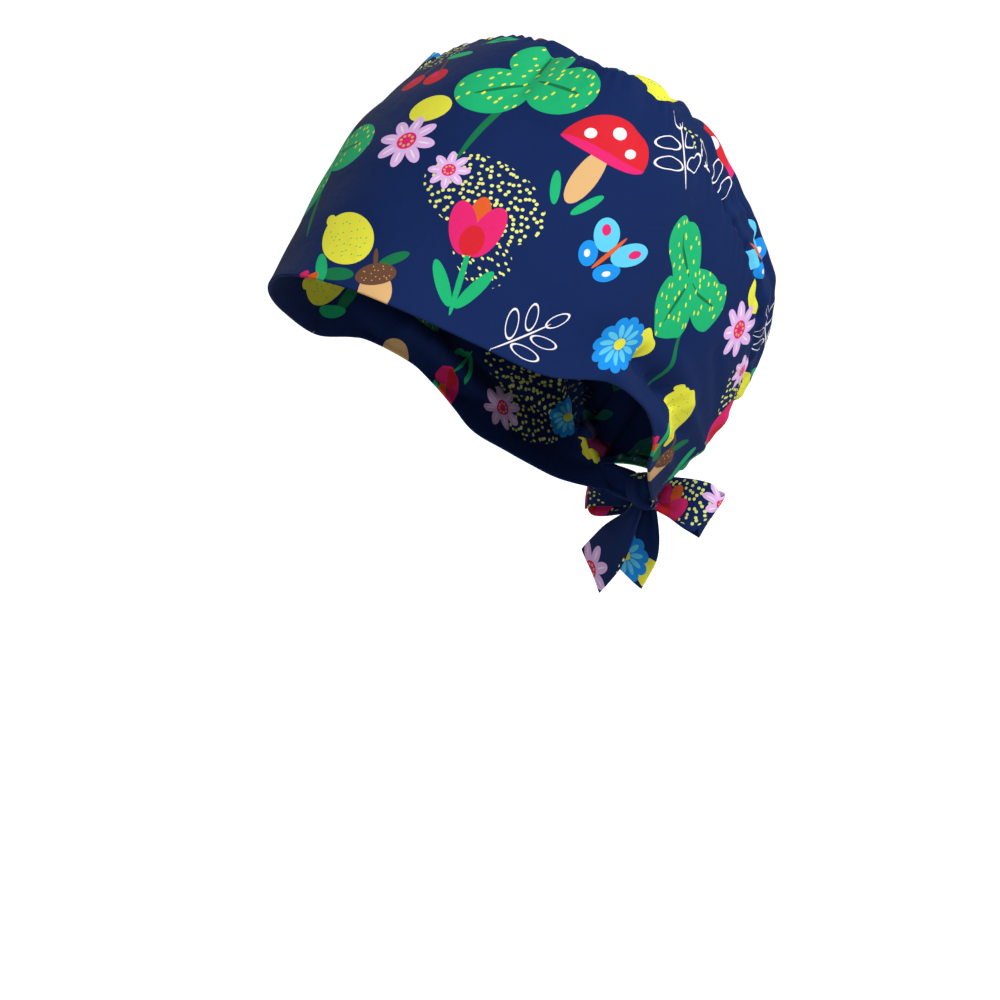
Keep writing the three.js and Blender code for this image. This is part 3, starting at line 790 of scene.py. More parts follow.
def knot_middle(context):
    """Where the knot lies: behind the panel's two ends, at the height of the nape rim."""
    sizes, ties = context.scene.scrub_cap_sizes, context.scene.scrub_cap_ties
    nape = seam_line(sizes, np.array([1.0]))[0]
    return np.array([0, nape[1] + ties.knot_setback, -0.99 * sizes.nape_drop])


def mixed(a, b, share):
    """Vectors a to b by a share for each row."""
    return a + (b - a) * share[:, None]


def lead_strap(context, hand):
    """From between the panel's two layers to the knot: a bent line whose width goes from the panel's end to
    the pinched width, with creases that deepen toward the knot."""
    sizes, ties = context.scene.scrub_cap_sizes, context.scene.scrub_cap_ties
    knot = knot_middle(context)
    place = np.array([float(hand)])
    low, high = rim_line(sizes, place)[0], seam_line(sizes, place)[0]
    end = (low + high) / 2
    side = unit(high - low)
    onward = knot - end
    onward = unit(onward - (onward @ side) * side)
    inward = unit(np.cross(onward, side))
    inward = -np.sign(inward[1]) * inward
    start = end + inward * sizes.panel_thickness / 2 - onward * 0.003
    near = knot + np.array([hand * ties.knot_width * 0.6, -ties.knot_depth * 0.12, 0])
    root = knot + np.array([hand * ties.knot_width * 0.3, -ties.knot_depth * 0.12, 0])
    t = np.linspace(0, 1, 40)
    middles = bezier([start, start + onward * 0.006, near, root], t)
    widths = np.linalg.norm(high - low) * 0.97
    widths = widths + (ties.pinched_width - widths) * smoothstep(t, 0.1, 0.8)
    sides = mixed(side, np.array([0, 0, 1.0]), t)

    def ripple(across, run):
        """Three rounded creases along the tie, deeper toward the knot."""
        return 0.0009 * np.cos(across * 3 * np.pi + 0.6) * smoothstep(run, 0.15, 0.8)

    return strap(middles, sides, widths, ties.tie_thickness, ripple)


def loop_strap(context, hand):
    """Out from the knot and back as a drop: the reach is a half sine and the spread a full sine of the way
    round, and the width grows from the pinched one to the full one, less a quarter circle at each corner of
    the fold."""
    ties = context.scene.scrub_cap_ties
    knot = knot_middle(context)
    outward = unit(np.array([hand * 0.98, 0.02, -0.12]))
    upright = unit(np.array([hand * 0.3, 0.52, 0.8]))
    apart = unit(np.cross(outward, upright)) * hand
    root = knot + np.array([0, ties.knot_depth * 0.22, 0])
    t = np.linspace(0.05, 0.95, 110)
    reach = ties.loop_length * np.sin(np.pi * t) ** 0.85
    spread = ties.loop_opening / 2 * np.sin(2 * np.pi * t)
    opened = np.sin(np.pi * t)
    middles = root + reach[:, None] * outward + spread[:, None] * apart
    sides = mixed(np.array([0, 0, 1.0]), upright, opened)
    widths = ties.pinched_width + (ties.tie_width - ties.pinched_width) * opened**0.7
    to_corner = np.maximum(0, ties.loop_corner - (ties.loop_length - reach))
    widths = widths - 2 * (ties.loop_corner - np.sqrt(ties.loop_corner**2 - to_corner**2))

    def ripple(across, run):
        """Rounded creases that fade away from the knot, and a low wave along the edges."""
        near_knot = np.exp(-((np.minimum(run, 1 - run) / 0.2) ** 1.3))
        creases = 0.0011 * np.cos(across * 2.6 * np.pi + 0.8 * hand + 2 * run) * near_knot
        return creases + 0.0006 * np.sin(run * 21 + hand) * across**2

    return strap(middles, sides, widths, ties.tie_thickness, ripple)


def tail_strap(context, hand):
    """From under the knot, down and over toward the wearer's right, widening to the full width."""
    ties = context.scene.scrub_cap_ties
    lean = -0.48 if hand > 0 else -0.8
    drop = ties.tail_length
    root = knot_middle(context) + np.array([0, hand * ties.knot_depth * 0.2, -ties.knot_height * 0.2])
    t = np.linspace(0, 1, 70)
    middles = bezier(
        [
            root,
            root + [lean * 0.002, hand * 0.002, -ties.knot_height * 0.7],
            root + [lean * drop * 0.6, hand * 0.003, -drop * 0.7],
            root + [lean * drop, hand * 0.002, -drop],
        ],
        t,
    )
    sides = np.repeat(unit(np.array([[1, 0.25 * hand, lean * 0.8]])), len(t), 0)
    narrow = ties.pinched_width * 0.6
    widths = narrow + (ties.tie_width - narrow) * smoothstep(t, 0, 0.7)

    def ripple(across, run):
        """Creases from the knot, and one soft roll across the free end."""
        creases = 0.001 * np.cos(across * 2.4 * np.pi + hand) * np.exp(-((run / 0.35) ** 1.5))
        return creases + 0.0008 * np.sin(across * 2 + run * 5 + hand) * run

    return strap(middles, sides, widths, ties.tie_thickness, ripple)


# How far the print is moved on the left and back on the right, and how wide the cloth lies flat: a lead's
# width in metres, and for a loop or tail, which narrow toward the knot, a share of the tie's.
HAND_SHIFT = np.array([0.09, 0.04])


def build_ties(context):
    """The two leads, loops and tails of the ties."""
    shapes = {"lead": lead_strap, "loop": loop_strap, "tail": tail_strap}
    cloths = {kind: cloth_material(context, f"tie_cotton_{kind}") for kind in shapes}
    for word, hand in (("left", 1), ("right", -1)):
        for kind, shape in shapes.items():
            points, faces, layout, run = shape(context, hand)
            layout = layout + hand * HAND_SHIFT
            piece = add_mesh(f"{word}_{kind}", points, turned_out(points, faces), layout, [cloths[kind]])
            dress(piece, f"tie_{word}_{kind}")


KNOT_ROWS = 96
KNOT_COLUMNS = 140
KNOT_RADIUS = 0.008


def build_knot(context):
    """The knot: a slightly squared ball, plus slantwise bands, which are a sine of the sideways way that
    flattens toward top and bottom, less a dip at each side, where the ties leave it."""
    ties = context.scene.scrub_cap_ties
    rise = np.linspace(-np.pi / 2, np.pi / 2, KNOT_ROWS + 1)[1:-1][:, None]
    turn = np.linspace(0, 2 * np.pi, KNOT_COLUMNS, endpoint=False)[None, :]

    def soft(value):
        """The size of a sine or cosine to the power of 0.85, with its sign, which squares the ball."""
        return np.sign(value) * np.abs(value) ** 0.85

    x = soft(np.cos(rise) * np.cos(turn))
    y = soft(np.cos(rise) * np.sin(turn))
    z = soft(np.sin(rise) * np.ones_like(turn))
    slant = x * 0.35 + z * 0.05
    wrap = np.sin((slant + 0.25 * z * x) * 19 + 0.8)
    cover = np.exp(-((z * 0.2) ** 2)) * (1 - 0.6 * np.abs(z) ** 3)
    swell = 0.0007 * np.sign(wrap) * np.abs(wrap) ** 0.6 * cover
    swell -= 0.0022 * np.exp(-((np.abs(x) - 1) / 0.22) ** 2) * np.exp(-((z / 0.45) ** 2))
    half = np.array([ties.knot_width, ties.knot_depth, ties.knot_height]) / 2
    ball = np.stack([x, y, z], -1)
    grid = knot_middle(context) + ball * half + unit(ball / half) * swell[..., None]
    rows, columns = grid.shape[:2]
    points = np.concatenate([grid.reshape(-1, 3), [grid[0].mean(0), grid[-1].mean(0)]])
    ring = np.arange(columns)
    nexts = np.roll(ring, -1)
    last = (rows - 1) * columns
    low_pole = np.full(columns, rows * columns)
    faces = [
        grid_faces(rows, columns, closed_columns=True),
        np.stack([ring, nexts, low_pole], 1),
        np.stack([nexts + last, ring + last, low_pole + 1], 1),
    ]
    layout = KNOT_RADIUS * np.stack(np.broadcast_arrays(turn, rise), -1).reshape(-1, 2)
    layout = np.concatenate([layout, [[0, -KNOT_RADIUS * np.pi / 2], [0, KNOT_RADIUS * np.pi / 2]]])
    cloth = cloth_material(context, "tie_cotton_knot")
    knot = add_mesh("bow_knot", points, turned_out(points, faces), layout, [cloth])
    dress(knot, "tie_knot")


def feed(tree, value, socket):
    """Joins a socket to another one, or sets its value where that is a plain one."""
    if isinstance(value, bpy.types.NodeSocket):
        tree.links.new(value, socket)
    else:
        socket.default_value = value


def put(tree, kind, inputs=(), **settings):
    """A new node with these settings. Its inputs are given in order or by key, and None is left as it
    is."""
    node = tree.nodes.new(kind)
    for name, value in settings.items():
        setattr(node, name, value)
    for key, value in inputs.items() if isinstance(inputs, dict) else enumerate(inputs):
        if value is not None:
            feed(tree, value, node.inputs[key])
    return node


def math_node(tree, operation, *values):
    """What a math operation makes of one or more values."""
    return put(tree, "ShaderNodeMath", values, operation=operation).outputs[0]


def blend_colours(tree, share, under, over):
    """One colour over another, by a share."""
    return put(tree, "ShaderNodeMix", {0: share, 6: under, 7: over}, data_type="RGBA").outputs[2]


def flat_noise(tree, place, scale, detail, distortion=0.0):
    """Noise in two dimensions."""
    inputs = {"Vector": place, "Scale": scale, "Detail": detail, "Distortion": distortion}
    return put(tree, "ShaderNodeTexNoise", inputs, noise_dimensions="2D").outputs[0]


def bump(tree, height, strength, distance, normal=None):
    """A bump from a height, over the plain normal or over another bump."""
    inputs = {"Strength": strength, "Distance": distance, "Height": height, "Normal": normal}
    return put(tree, "ShaderNodeBump", inputs).outputs[0]


def as_seen(tree, lighting, seen):
    """One number for the light that falls on things, and another where the camera looks straight at it."""
    straight = put(tree, "ShaderNodeLightPath").outputs["Is Camera Ray"]
    return put(tree, "ShaderNodeMapRange", (straight, 0, 1, lighting, seen)).outputs[0]


def new_group(name, inputs, outputs):
    """An empty node group with named inputs and outputs, each (name, kind of socket), and its inputs'
    sockets."""
    tree = bpy.data.node_groups.new(name, "ShaderNodeTree")
    for in_out, sockets in (("INPUT", inputs), ("OUTPUT", outputs)):
        for label, kind in sockets:
            tree.interface.new_socket(label, in_out=in_out, socket_type=kind)
    return tree, tree.nodes.new("NodeGroupInput").outputs


class Motif:
    """One motif of the print: flat shapes painted over each other in a node group, in a frame about one
    unit across each way from its middle. Each shape is a mask, and the group puts out the colour and the
    whole mask."""

    def __init__(self, name):
        sockets = [("Color", "NodeSocketColor"), ("Mask", "NodeSocketFloat")]
        self.tree, entry = new_group(name, [("Vector", "NodeSocketVector")], sockets)
        self.place = entry[0]
        self.colour = None
        self.mask = None

    def parts(self):
        """The sideways and the upward part of the place."""
        return put(self.tree, "ShaderNodeSeparateXYZ", (self.place,)).outputs

    def from_middle(self, at, half, turn, place):
        """The length of the place, moved, turned and divided by an ellipse's half widths: 1 on its edge."""
        inputs = (place or self.place, (*at, 0), (0, 0, turn), (*half, 1))
        moved = put(self.tree, "ShaderNodeMapping", inputs, vector_type="TEXTURE").outputs[0]
        return put(self.tree, "ShaderNodeVectorMath", (moved,), operation="LENGTH").outputs["Value"]

    def ellipse(self, at, half, turn=0.0, place=None):
        """1 inside an ellipse."""
        return math_node(self.tree, "LESS_THAN", self.from_middle(at, half, turn, place), 1.0)

    def outline(self, at, half, turn, line, place=None):
        """1 on the edge of an ellipse, where that length is within half the line of 1."""
        return math_node(self.tree, "COMPARE", self.from_middle(at, half, turn, place), 1.0, line / 2)

    def repeated(self, count):
        """The place turned back to the first of count equal sectors."""
        sideways, upward = self.parts()[:2]
        step = 2 * math.pi / count
        angle = math_node(self.tree, "ADD", math_node(self.tree, "ARCTAN2", upward, sideways), step / 2)
        inputs = (self.place, (0, 0, 0), (0, 0, 1), math_node(self.tree, "SNAP", angle, step))
        turned = put(self.tree, "ShaderNodeVectorRotate", inputs, rotation_type="Z_AXIS", invert=True)
        return turned.outputs[0]

    def mirrored(self):
        """The place with its sideways part made positive."""
        sideways, upward = self.parts()[:2]
        inputs = (math_node(self.tree, "ABSOLUTE", sideways), upward)
        return put(self.tree, "ShaderNodeCombineXYZ", inputs).outputs[0]

    def above(self, height):
        """1 above a height."""
        return math_node(self.tree, "GREATER_THAN", self.parts()[1], height)

    def flecks(self, scale, size, stretch=1.0):
        """1 within a distance of scattered points, stretched sideways."""
        moved = put(self.tree, "ShaderNodeMapping", (self.place, None, None, (1 / stretch, 1, 1))).outputs[0]
        inputs = {"Vector": moved, "Scale": scale}
        cells = put(self.tree, "ShaderNodeTexVoronoi", inputs, voronoi_dimensions="2D")
        return math_node(self.tree, "LESS_THAN", cells.outputs["Distance"], size)

    def paint(self, colour, mask, inside=False, only_in=None):
        """Paints a mask in a colour over what is there, or only the part of it that lies in another mask. A
        mask that lies inside the motif adds nothing to the whole."""
        if only_in is not None:
            mask = math_node(self.tree, "MULTIPLY", mask, only_in)
        full = (*colour, 1)
        if self.mask is None:
            self.colour, self.mask = full, mask
            return
        self.colour = blend_colours(self.tree, mask, self.colour, full)
        if not inside:
            self.mask = math_node(self.tree, "MAXIMUM", self.mask, mask)

    def oval(self, colour, at, half, turn=0.0, place=None, inside=False):
        """Paints an ellipse."""
        self.paint(colour, self.ellipse(at, half, turn, place), inside)


def clover(m, ink):
    """A clover with three round leaves with lime flecks, on a thin stem, and a lime disc beside it."""
    m.oval(ink.deep_green, (0.1, -0.85), (0.05, 0.8), 0.12)
    third = m.repeated(3)
    leaf = m.ellipse((0.52, 0), (0.5, 0.46), 0, third)
    m.paint(ink.green, leaf)
    m.oval(ink.green, (0, 0), (0.12, 0.12))
    m.oval(ink.deep_green, (0.42, 0), (0.36, 0.028), 0, third, inside=True)
    m.paint(ink.lime, m.flecks(3.6, 0.13, 0.5), inside=True, only_in=leaf)
    m.oval(ink.lime, (-0.72, -1.15), (0.3, 0.24), 0.5)


def lemon(m, ink):
    """A lemon with a nub, green flecks and two leaves."""
    m.oval(ink.deep_green, (-0.72, 0.62), (0.44, 0.17), 0.75)
    m.oval(ink.green, (-0.25, 0.82), (0.42, 0.15), -0.35)
    m.oval(ink.lime, (0, 0), (0.82, 0.6), 0.1)
    m.oval(ink.lime, (0.82, 0.08), (0.17, 0.13))
    m.paint(ink.green, m.flecks(4.2, 0.1, 0.6), inside=True, only_in=m.ellipse((0, 0), (0.7, 0.48), 0.1))


def toadstool(m, ink):
    """A red toadstool with white dots, on a thick stem in grass."""
    m.oval(ink.green, (-0.34, -0.95), (0.09, 0.34), 0.5)
    m.oval(ink.green, (0.34, -0.95), (0.09, 0.34), -0.5)
    m.oval(ink.tan, (0, -0.5), (0.24, 0.6))
    m.paint(ink.red, m.ellipse((0, 0), (0.9, 0.85)), only_in=m.above(0.0))
    m.oval(ink.pink, (0, 0), (0.9, 0.1))
    m.oval(ink.white, (0.05, 0.55), (0.15, 0.13), inside=True)
    m.oval(ink.white, (-0.45, 0.27), (0.12, 0.11), inside=True)
    m.oval(ink.white, (0.47, 0.28), (0.11, 0.1), inside=True)


def tulip(m, ink):
    """A tulip with two outer petals, a heart, a stem and two leaves."""
    m.oval(ink.green, (0, -0.6), (0.05, 0.66))
    m.oval(ink.green, (0.26, -0.72), (0.11, 0.44), -0.5, m.mirrored())
    m.oval(ink.orange, (0, 0.42), (0.2, 0.52))
    m.oval(ink.pink, (0.2, 0.32), (0.23, 0.5), -0.28, m.mirrored())
    m.oval(ink.red, (0, 0.12), (0.2, 0.28), inside=True)


def daisy(m, ink):
    """A daisy with eight petals and a dotted heart."""
    sector = m.repeated(8)
    m.oval(ink.lilac, (0.6, 0), (0.38, 0.2), 0, sector)
    m.oval(ink.white, (0.62, 0), (0.2, 0.03), 0, sector, inside=True)
    m.oval(ink.pink, (0, 0), (0.32, 0.32))
    m.oval(ink.tan, (0.2, 0), (0.05, 0.05), 0, sector, inside=True)


def sprig(m, ink):
    """A sprig of five outlined leaves on a thin stem."""
    m.oval(ink.white, (0, -0.25), (0.025, 0.85))
    half = m.mirrored()
    m.paint(ink.white, m.outline((0.42, -0.32), (0.4, 0.15), 0.62, 0.16, half))
    m.paint(ink.white, m.outline((0.38, 0.22), (0.36, 0.14), 0.7, 0.17, half))
    m.paint(ink.white, m.outline((0, 0.78), (0.14, 0.32), 0, 0.18))


def acorn(m, ink):
    """An acorn in its cup, on a short stalk with a leaf."""
    m.oval(ink.deep_green, (0.5, 0.68), (0.45, 0.16), 0.35)
    m.oval(ink.brown, (0, 0.78), (0.07, 0.3))
    m.oval(ink.tan, (0, -0.25), (0.46, 0.62))
    m.oval(ink.brown, (0, 0.26), (0.58, 0.34))
    m.paint(ink.tan, m.flecks(6.5, 0.11), inside=True, only_in=m.ellipse((0, 0.26), (0.5, 0.27)))


def cherries(m, ink):
    """Two cherries on joined stems with a leaf."""
    m.oval(ink.brown, (-0.16, 0.2), (0.04, 0.6), -0.5)
    m.oval(ink.brown, (0.3, 0.22), (0.04, 0.58), 0.35)
    m.oval(ink.green, (0.42, 0.78), (0.42, 0.17), 0.2)
    m.oval(ink.red, (-0.42, -0.4), (0.38, 0.36))
    m.oval(ink.red, (0.45, -0.36), (0.36, 0.36))
    m.oval(ink.pink, (-0.52, -0.28), (0.1, 0.13), 0.4, inside=True)
    m.oval(ink.pink, (0.34, -0.24), (0.1, 0.13), 0.4, inside=True)


def round_bloom(m, ink):
    """A round bloom with a scalloped edge, pale petals and a lime heart."""
    sector = m.repeated(11)
    m.oval(ink.blue, (0, 0), (0.76, 0.76))
    m.oval(ink.blue, (0.74, 0), (0.2, 0.22), 0, sector)
    m.oval(ink.sky, (0.46, 0), (0.24, 0.09), 0, sector, inside=True)
    m.oval(ink.lime, (0, 0), (0.2, 0.2), inside=True)


def butterfly(m, ink):
    """A butterfly with two pairs of wings with spots."""
    half = m.mirrored()
    m.oval(ink.blue, (0.4, -0.38), (0.36, 0.26), 0.7, half)
    m.oval(ink.sky, (0.5, 0.28), (0.5, 0.34), 0.55, half)
    m.oval(ink.pink, (0.62, 0.36), (0.17, 0.12), 0.55, half, inside=True)
    m.oval(ink.white, (0.42, -0.4), (0.11, 0.08), 0.7, half, inside=True)
    m.oval(ink.orange, (0, 0), (0.07, 0.56))


def specks(m, ink):
    """A loose patch of pale specks."""
    m.paint(ink.cream, m.flecks(9.5, 0.26), only_in=m.ellipse((0, 0), (1.0, 0.62), 0.3))
    m.paint(ink.cream, m.flecks(11.0, 0.2, 1.6), only_in=m.ellipse((0.7, -0.5), (0.6, 0.4), -0.4))


# One repeat of the print: each motif's place across and up, its size and its turn. Metres and radians.
REPEAT = (0.212, 0.186)
LAYOUT = [
    (specks, 0.152, 0.152, 0.034, 0.2),
    (specks, 0.060, 0.062, 0.030, -0.5),
    (clover, 0.042, 0.132, 0.035, -0.15),
    (clover, 0.174, 0.064, 0.030, 0.35),
    (toadstool, 0.096, 0.102, 0.025, -0.1),
    (lemon, 0.098, 0.160, 0.022, 0.4),
    (lemon, 0.012, 0.022, 0.020, 2.6),
    (tulip, 0.066, 0.038, 0.026, 0.2),
    (tulip, 0.001, 0.172, 0.019, -0.4),
    (daisy, 0.012, 0.076, 0.015, 0.1),
    (daisy, 0.176, 0.166, 0.012, 0.5),
    (daisy, 0.040, 0.068, 0.010, 0.3),
    (sprig, 0.134, 0.114, 0.020, 0.5),
    (sprig, 0.106, 0.014, 0.017, -0.7),
    (butterfly, 0.122, 0.060, 0.017, -0.5),
    (cherries, 0.198, 0.122, 0.018, 0.2),
    (acorn, 0.038, 0.006, 0.016, 0.5),
    (round_bloom, 0.134, 0.152, 0.013, 0.0),
    (round_bloom, 0.150, 0.018, 0.015, 0.4),
]

# Where each cloth is cut from the print: how far it is moved, in metres, and how far turned, in radians.
CUTS = {
    "printed_cotton": ((0.0, 0.0), 0.0),
    "printed_cotton_crown": ((0.031, 0.064), 0.0),
    "printed_cotton_reverse": ((0.031, 0.064), 0.0),
    "tie_cotton_lead": ((0.115, 0.088), 0.2),
    "tie_cotton_loop": ((0.0895, -0.0474), 1.3),
    "tie_cotton_tail": ((0.1, 0.1), 0.4),
    "tie_cotton_knot": ((0.07, 0.02), 0.9),
}


def motif_group(motif, ink):
    """A motif's node group, made the first time that it is asked for."""
    name = motif.__name__
    if name not in bpy.data.node_groups:
        m = Motif(name)
        motif(m, ink)
        put(m.tree, "NodeGroupOutput", (m.colour, m.mask))
    return bpy.data.node_groups[name]


def print_group(ink):
    """The garden print as a group: for each motif the place, less its middle, is wrapped into one repeat,
    turned and scaled, and its colour goes over the cloth's by its mask."""
    name = "garden_print"
    if name in bpy.data.node_groups:
        return bpy.data.node_groups[name]
    sockets = [("Vector", "NodeSocketVector"), ("Ground", "NodeSocketColor")]
    tree, entry = new_group(name, sockets, [("Color", "NodeSocketColor")])
    place, colour = entry[:2]
    half = (REPEAT[0] / 2, REPEAT[1] / 2, 1)
    for motif, across, up, size, turn in LAYOUT:
        moved = put(tree, "ShaderNodeVectorMath", (place, (across, up, 0)), operation="SUBTRACT").outputs[0]
        inputs = (moved, half, tuple(-h for h in half))
        wrapped = put(tree, "ShaderNodeVectorMath", inputs, operation="WRAP").outputs[0]
        inputs = (wrapped, (0, 0, 0), (0, 0, turn), (size, size, 1))
        turned = put(tree, "ShaderNodeMapping", inputs, vector_type="TEXTURE").outputs[0]
        shape = put(tree, "ShaderNodeGroup", node_tree=motif_group(motif, ink))
        feed(tree, turned, shape.inputs[0])
        colour = blend_colours(tree, shape.outputs[1], colour, shape.outputs[0])
    put(tree, "NodeGroupOutput", (colour,))
    return tree


# Repeats of the weave in a metre, the stretch of each noise of its tone, and the scale of its creases.
WEAVE_REPEATS = 1700
TONE_STRETCHES = ((60, 700, 1), (700, 60, 1))
CREASE_SCALE = 85


def weave_group():
    """Plain weave as a group: the height is the product of two crossed sines, the tone is the mean of two
    noises drawn out along the threads, and the creases are a coarser bent noise."""
    name = "plain_weave"
    if name in bpy.data.node_groups:
        return bpy.data.node_groups[name]
    outputs = [("Height", "NodeSocketFloat"), ("Tone", "NodeSocketFloat"), ("Creases", "NodeSocketFloat")]
    sockets = [("Vector", "NodeSocketVector"), ("Repeats", "NodeSocketFloat")]
    tree, entry = new_group(name, sockets, outputs)
    place, repeats = entry[:2]
    inputs = {"Vector": place, "Scale": repeats}
    scaled = put(tree, "ShaderNodeVectorMath", inputs, operation="SCALE").outputs[0]
    ways = put(tree, "ShaderNodeSeparateXYZ", (scaled,)).outputs[:2]
    turns = [math_node(tree, "MULTIPLY", way, 2 * math.pi) for way in ways]
    warp, weft = (math_node(tree, "SINE", turn) for turn in turns)
    drawn = [
        flat_noise(tree, put(tree, "ShaderNodeMapping", (place, None, None, stretch)).outputs[0], 1, 1)
        for stretch in TONE_STRETCHES
    ]
    tone = math_node(tree, "MULTIPLY", math_node(tree, "ADD", *drawn), 0.5)
    creases = flat_noise(tree, place, CREASE_SCALE, 2, 0.6)
    put(tree, "NodeGroupOutput", (math_node(tree, "MULTIPLY", warp, weft), tone, creases))
    return tree


def cloth_material(context, name, faint=0.0):
    """Printed cotton on the piece's own layout, from its own place in the print. faint is how much the
    ground covers the print."""
    ink = context.scene.scrub_cap_colours
    material = bpy.data.materials.new(name)
    material.use_nodes = True
    tree = material.node_tree
    tree.nodes.clear()
    offset, turn = CUTS[name]
    layout = put(tree, "ShaderNodeUVMap", uv_map="cloth").outputs[0]
    moved = put(tree, "ShaderNodeMapping", (layout, (*offset, 0), (0, 0, turn))).outputs[0]
    weave = put(tree, "ShaderNodeGroup", (moved, WEAVE_REPEATS), node_tree=weave_group())
    height, tone, creases = weave.outputs[:3]
    ground = blend_colours(tree, tone, (*ink.shade, 1), (*ink.ground, 1))
    colour = put(tree, "ShaderNodeGroup", (moved, ground), node_tree=print_group(ink)).outputs[0]
    if faint:
        colour = blend_colours(tree, faint, colour, ground)
    threads = bump(tree, height, strength=0.25, distance=0.00012)
    finish = {
        "Base Color": colour,
        "Roughness": put(tree, "ShaderNodeMapRange", (tone, 0.3, 0.7, 0.78, 0.92)).outputs[0],
        "Normal": bump(tree, creases, strength=0.35, distance=0.0012, normal=threads),
        "Specular IOR Level": 0.1,
        "Sheen Weight": 0.015,
        "Sheen Roughness": 0.4,
    }
    shader = put(tree, "ShaderNodeBsdfPrincipled", finish).outputs[0]
    put(tree, "ShaderNodeOutputMaterial", (shader,))
    return material


def floor_material(look):
    """A matt pale floor that is bright where it is seen straight, so that it stays pale."""
    material = bpy.data.materials.new("pale_floor")
    material.use_nodes = True
    tree = material.node_tree
    finish = {
        "Base Color": (0.5, 0.5, 0.5, 1),
        "Roughness": 0.9,
        "Specular IOR Level": 0.1,
        "Emission Color": (1, 1, 1, 1),
        "Emission Strength": as_seen(tree, look.floor_glow, look.floor_seen),
    }
    for key, value in finish.items():
        feed(tree, value, tree.nodes["Principled BSDF"].inputs[key])
    return material


def soft_light(name, place, size, power):
    """A square area light at a place, aimed at the cap's middle."""
    data = bpy.data.lights.new(name, "AREA")
    data.shape = "SQUARE"
    data.size = size
    data.energy = power
    light = bpy.data.objects.new(name, data)
    light.location = place
    light.rotation_euler = (LIGHT_AIM - Vector(place)).to_track_quat("-Z", "Y").to_euler()
    bpy.context.scene.collection.objects.link(light)


FLOOR_HALF = 30.0
LIGHT_AIM = Vector((0, 0, 0.03))

# Each light's place and size in metres. StageLook holds their powers.
LIGHTS = {
    "key": ((1.9, -0.4, 1.15), 0.9),
    "fill": ((-0.5, -1.9, 0.7), 1.2),
    "back": ((0.5, 1.9, 1.1), 0.8),
    "side": ((-1.9, 0.3, 1.1), 0.9),
}

VIEW_AZIMUTH = math.radians(48)
VIEW_ELEVATION = math.radians(11)
VIEW_OFFSET = (0.0091, -0.0676)
SENSOR_WIDTH = 36


def build_stage(context):
    """A pale floor well below the cap, soft lights, an even pale sky and the camera at the photograph's
    angle."""
    look = context.scene.scrub_cap_stage
    scene = context.scene
    signs = [(-1, -1), (1, -1), (1, 1), (-1, 1)]
    corners = [(x * FLOOR_HALF, y * FLOOR_HALF, -look.floor_drop) for x, y in signs]
    mesh = bpy.data.meshes.new("floor")
    mesh.from_pydata(corners, [], [(0, 1, 2, 3)])
    mesh.materials.append(floor_material(look))
    floor = bpy.data.objects.new("floor", mesh)
    scene.collection.objects.link(floor)

    world = bpy.data.worlds.new("pale_sky")
    world.use_nodes = True
    tree = world.node_tree
    background = tree.nodes["Background"]
    background.inputs["Color"].default_value = (1, 1, 1, 1)
    feed(tree, as_seen(tree, look.sky_strength, 1), background.inputs["Strength"])
    scene.world = world
    scene.view_settings.view_transform = "Standard"
    for name, (place, size) in LIGHTS.items():
        soft_light(name, place, size, getattr(look, f"{name}_power"))

    across = Vector((math.sin(VIEW_AZIMUTH), -math.cos(VIEW_AZIMUTH), 0))
    back = across * math.cos(VIEW_ELEVATION) + Vector((0, 0, math.sin(VIEW_ELEVATION)))
    right = Vector((math.cos(VIEW_AZIMUTH), math.sin(VIEW_AZIMUTH), 0))
    up = back.cross(right)
    data = bpy.data.cameras.new("camera")
    data.sensor_width = SENSOR_WIDTH
    data.lens = look.lens
    camera = bpy.data.objects.new("camera", data)
    place = back * look.view_distance + right * VIEW_OFFSET[0] + up * VIEW_OFFSET[1]
    turned = Matrix((right, up, back)).transposed().to_4x4()
    camera.matrix_world = Matrix.Translation(place) @ turned
    scene.collection.objects.link(camera)
    scene.camera = camera


class SCRUBCAP_OT_front(bpy.types.Operator):
    """Makes the folded front panel"""

    bl_idname = "scrubcap.front"
    bl_label = "Front panel"

    def execute(self, context):
        build_panel(context)
        return {"FINISHED"}


class SCRUBCAP_OT_crown(bpy.types.Operator):
    """Makes the gathered crown"""

    bl_idname = "scrubcap.crown"
    bl_label = "Crown"

    def execute(self, context):
        build_crown(context)
        return {"FINISHED"}


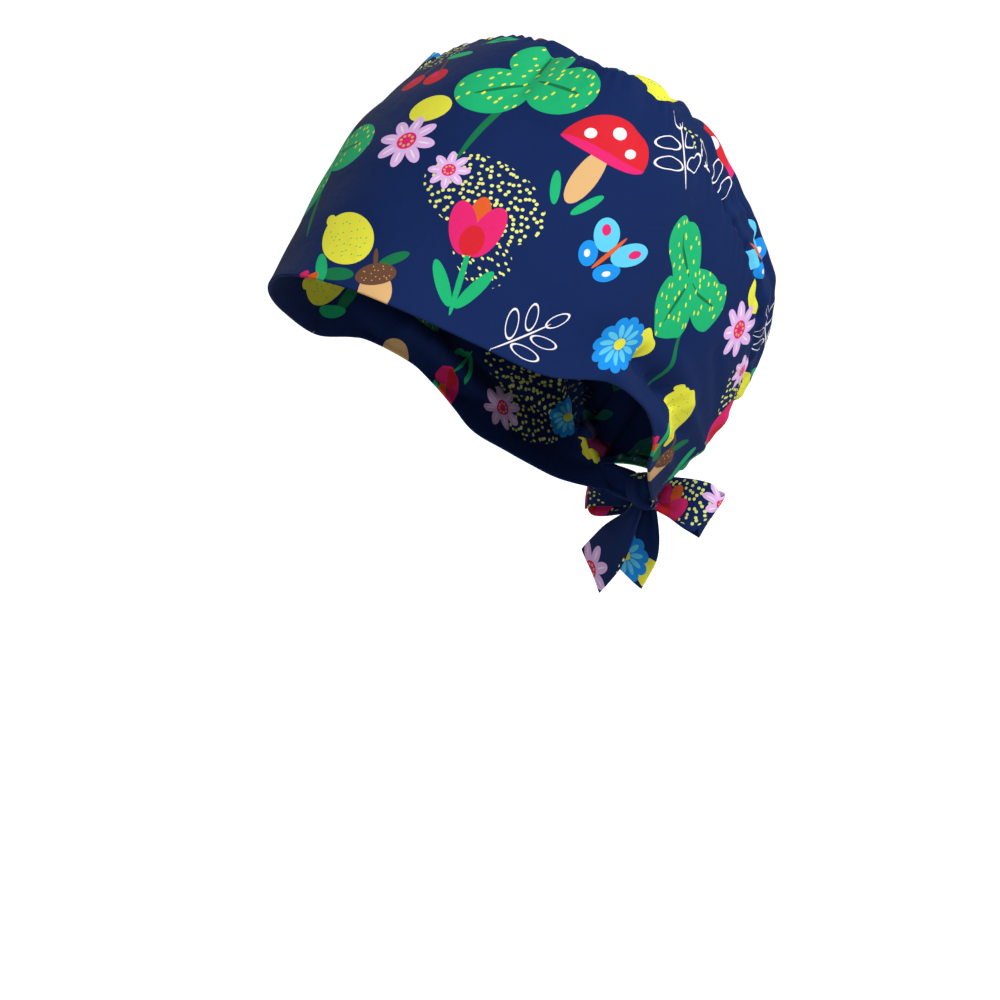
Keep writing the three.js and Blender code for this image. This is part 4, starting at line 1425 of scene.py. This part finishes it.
class SCRUBCAP_OT_knot(bpy.types.Operator):
    """Makes the knot of the bow"""

    bl_idname = "scrubcap.knot"
    bl_label = "Knot"

    def execute(self, context):
        build_knot(context)
        return {"FINISHED"}


class SCRUBCAP_OT_ties(bpy.types.Operator):
    """Makes the leads, loops and tails of the ties"""

    bl_idname = "scrubcap.ties"
    bl_label = "Ties"

    def execute(self, context):
        build_ties(context)
        return {"FINISHED"}


class SCRUBCAP_OT_stage(bpy.types.Operator):
    """Makes the floor, the lights and the camera"""

    bl_idname = "scrubcap.stage"
    bl_label = "Stage"

    def execute(self, context):
        build_stage(context)
        return {"FINISHED"}


OPERATORS = [SCRUBCAP_OT_stage, SCRUBCAP_OT_front, SCRUBCAP_OT_crown, SCRUBCAP_OT_knot, SCRUBCAP_OT_ties]
GROUPS = {
    "scrub_cap_sizes": CapSizes,
    "scrub_cap_ties": TieSizes,
    "scrub_cap_colours": PrintColours,
    "scrub_cap_stage": StageLook,
}


class SCRUBCAP_PT_panel(bpy.types.Panel):
    """The cap's sizes, colours and pieces"""

    bl_label = "Scrub cap"
    bl_idname = "SCRUBCAP_PT_panel"
    bl_space_type = "VIEW_3D"
    bl_region_type = "UI"
    bl_category = "Scrub cap"

    def draw(self, context):
        for name, group in GROUPS.items():
            box = self.layout.box()
            for key in group.__annotations__:
                box.prop(getattr(context.scene, name), key)
        for operator in OPERATORS:
            self.layout.operator(operator.bl_idname)


def register():
    """Adds the groups of sizes, the operators and the panel."""
    for name, group in GROUPS.items():
        bpy.utils.register_class(group)
        setattr(bpy.types.Scene, name, PointerProperty(type=group))
    for kind in [*OPERATORS, SCRUBCAP_PT_panel]:
        bpy.utils.register_class(kind)


def unregister():
    """Takes them away again."""
    for kind in [SCRUBCAP_PT_panel, *reversed(OPERATORS)]:
        bpy.utils.unregister_class(kind)
    for name, group in GROUPS.items():
        delattr(bpy.types.Scene, name)
        bpy.utils.unregister_class(group)


def main():
    register()
    for operator in OPERATORS:
        category, name = operator.bl_idname.split(".")
        getattr(getattr(bpy.ops, category), name)()
    bpy.context.view_layer.update()


if __name__ == "__main__":
    main()
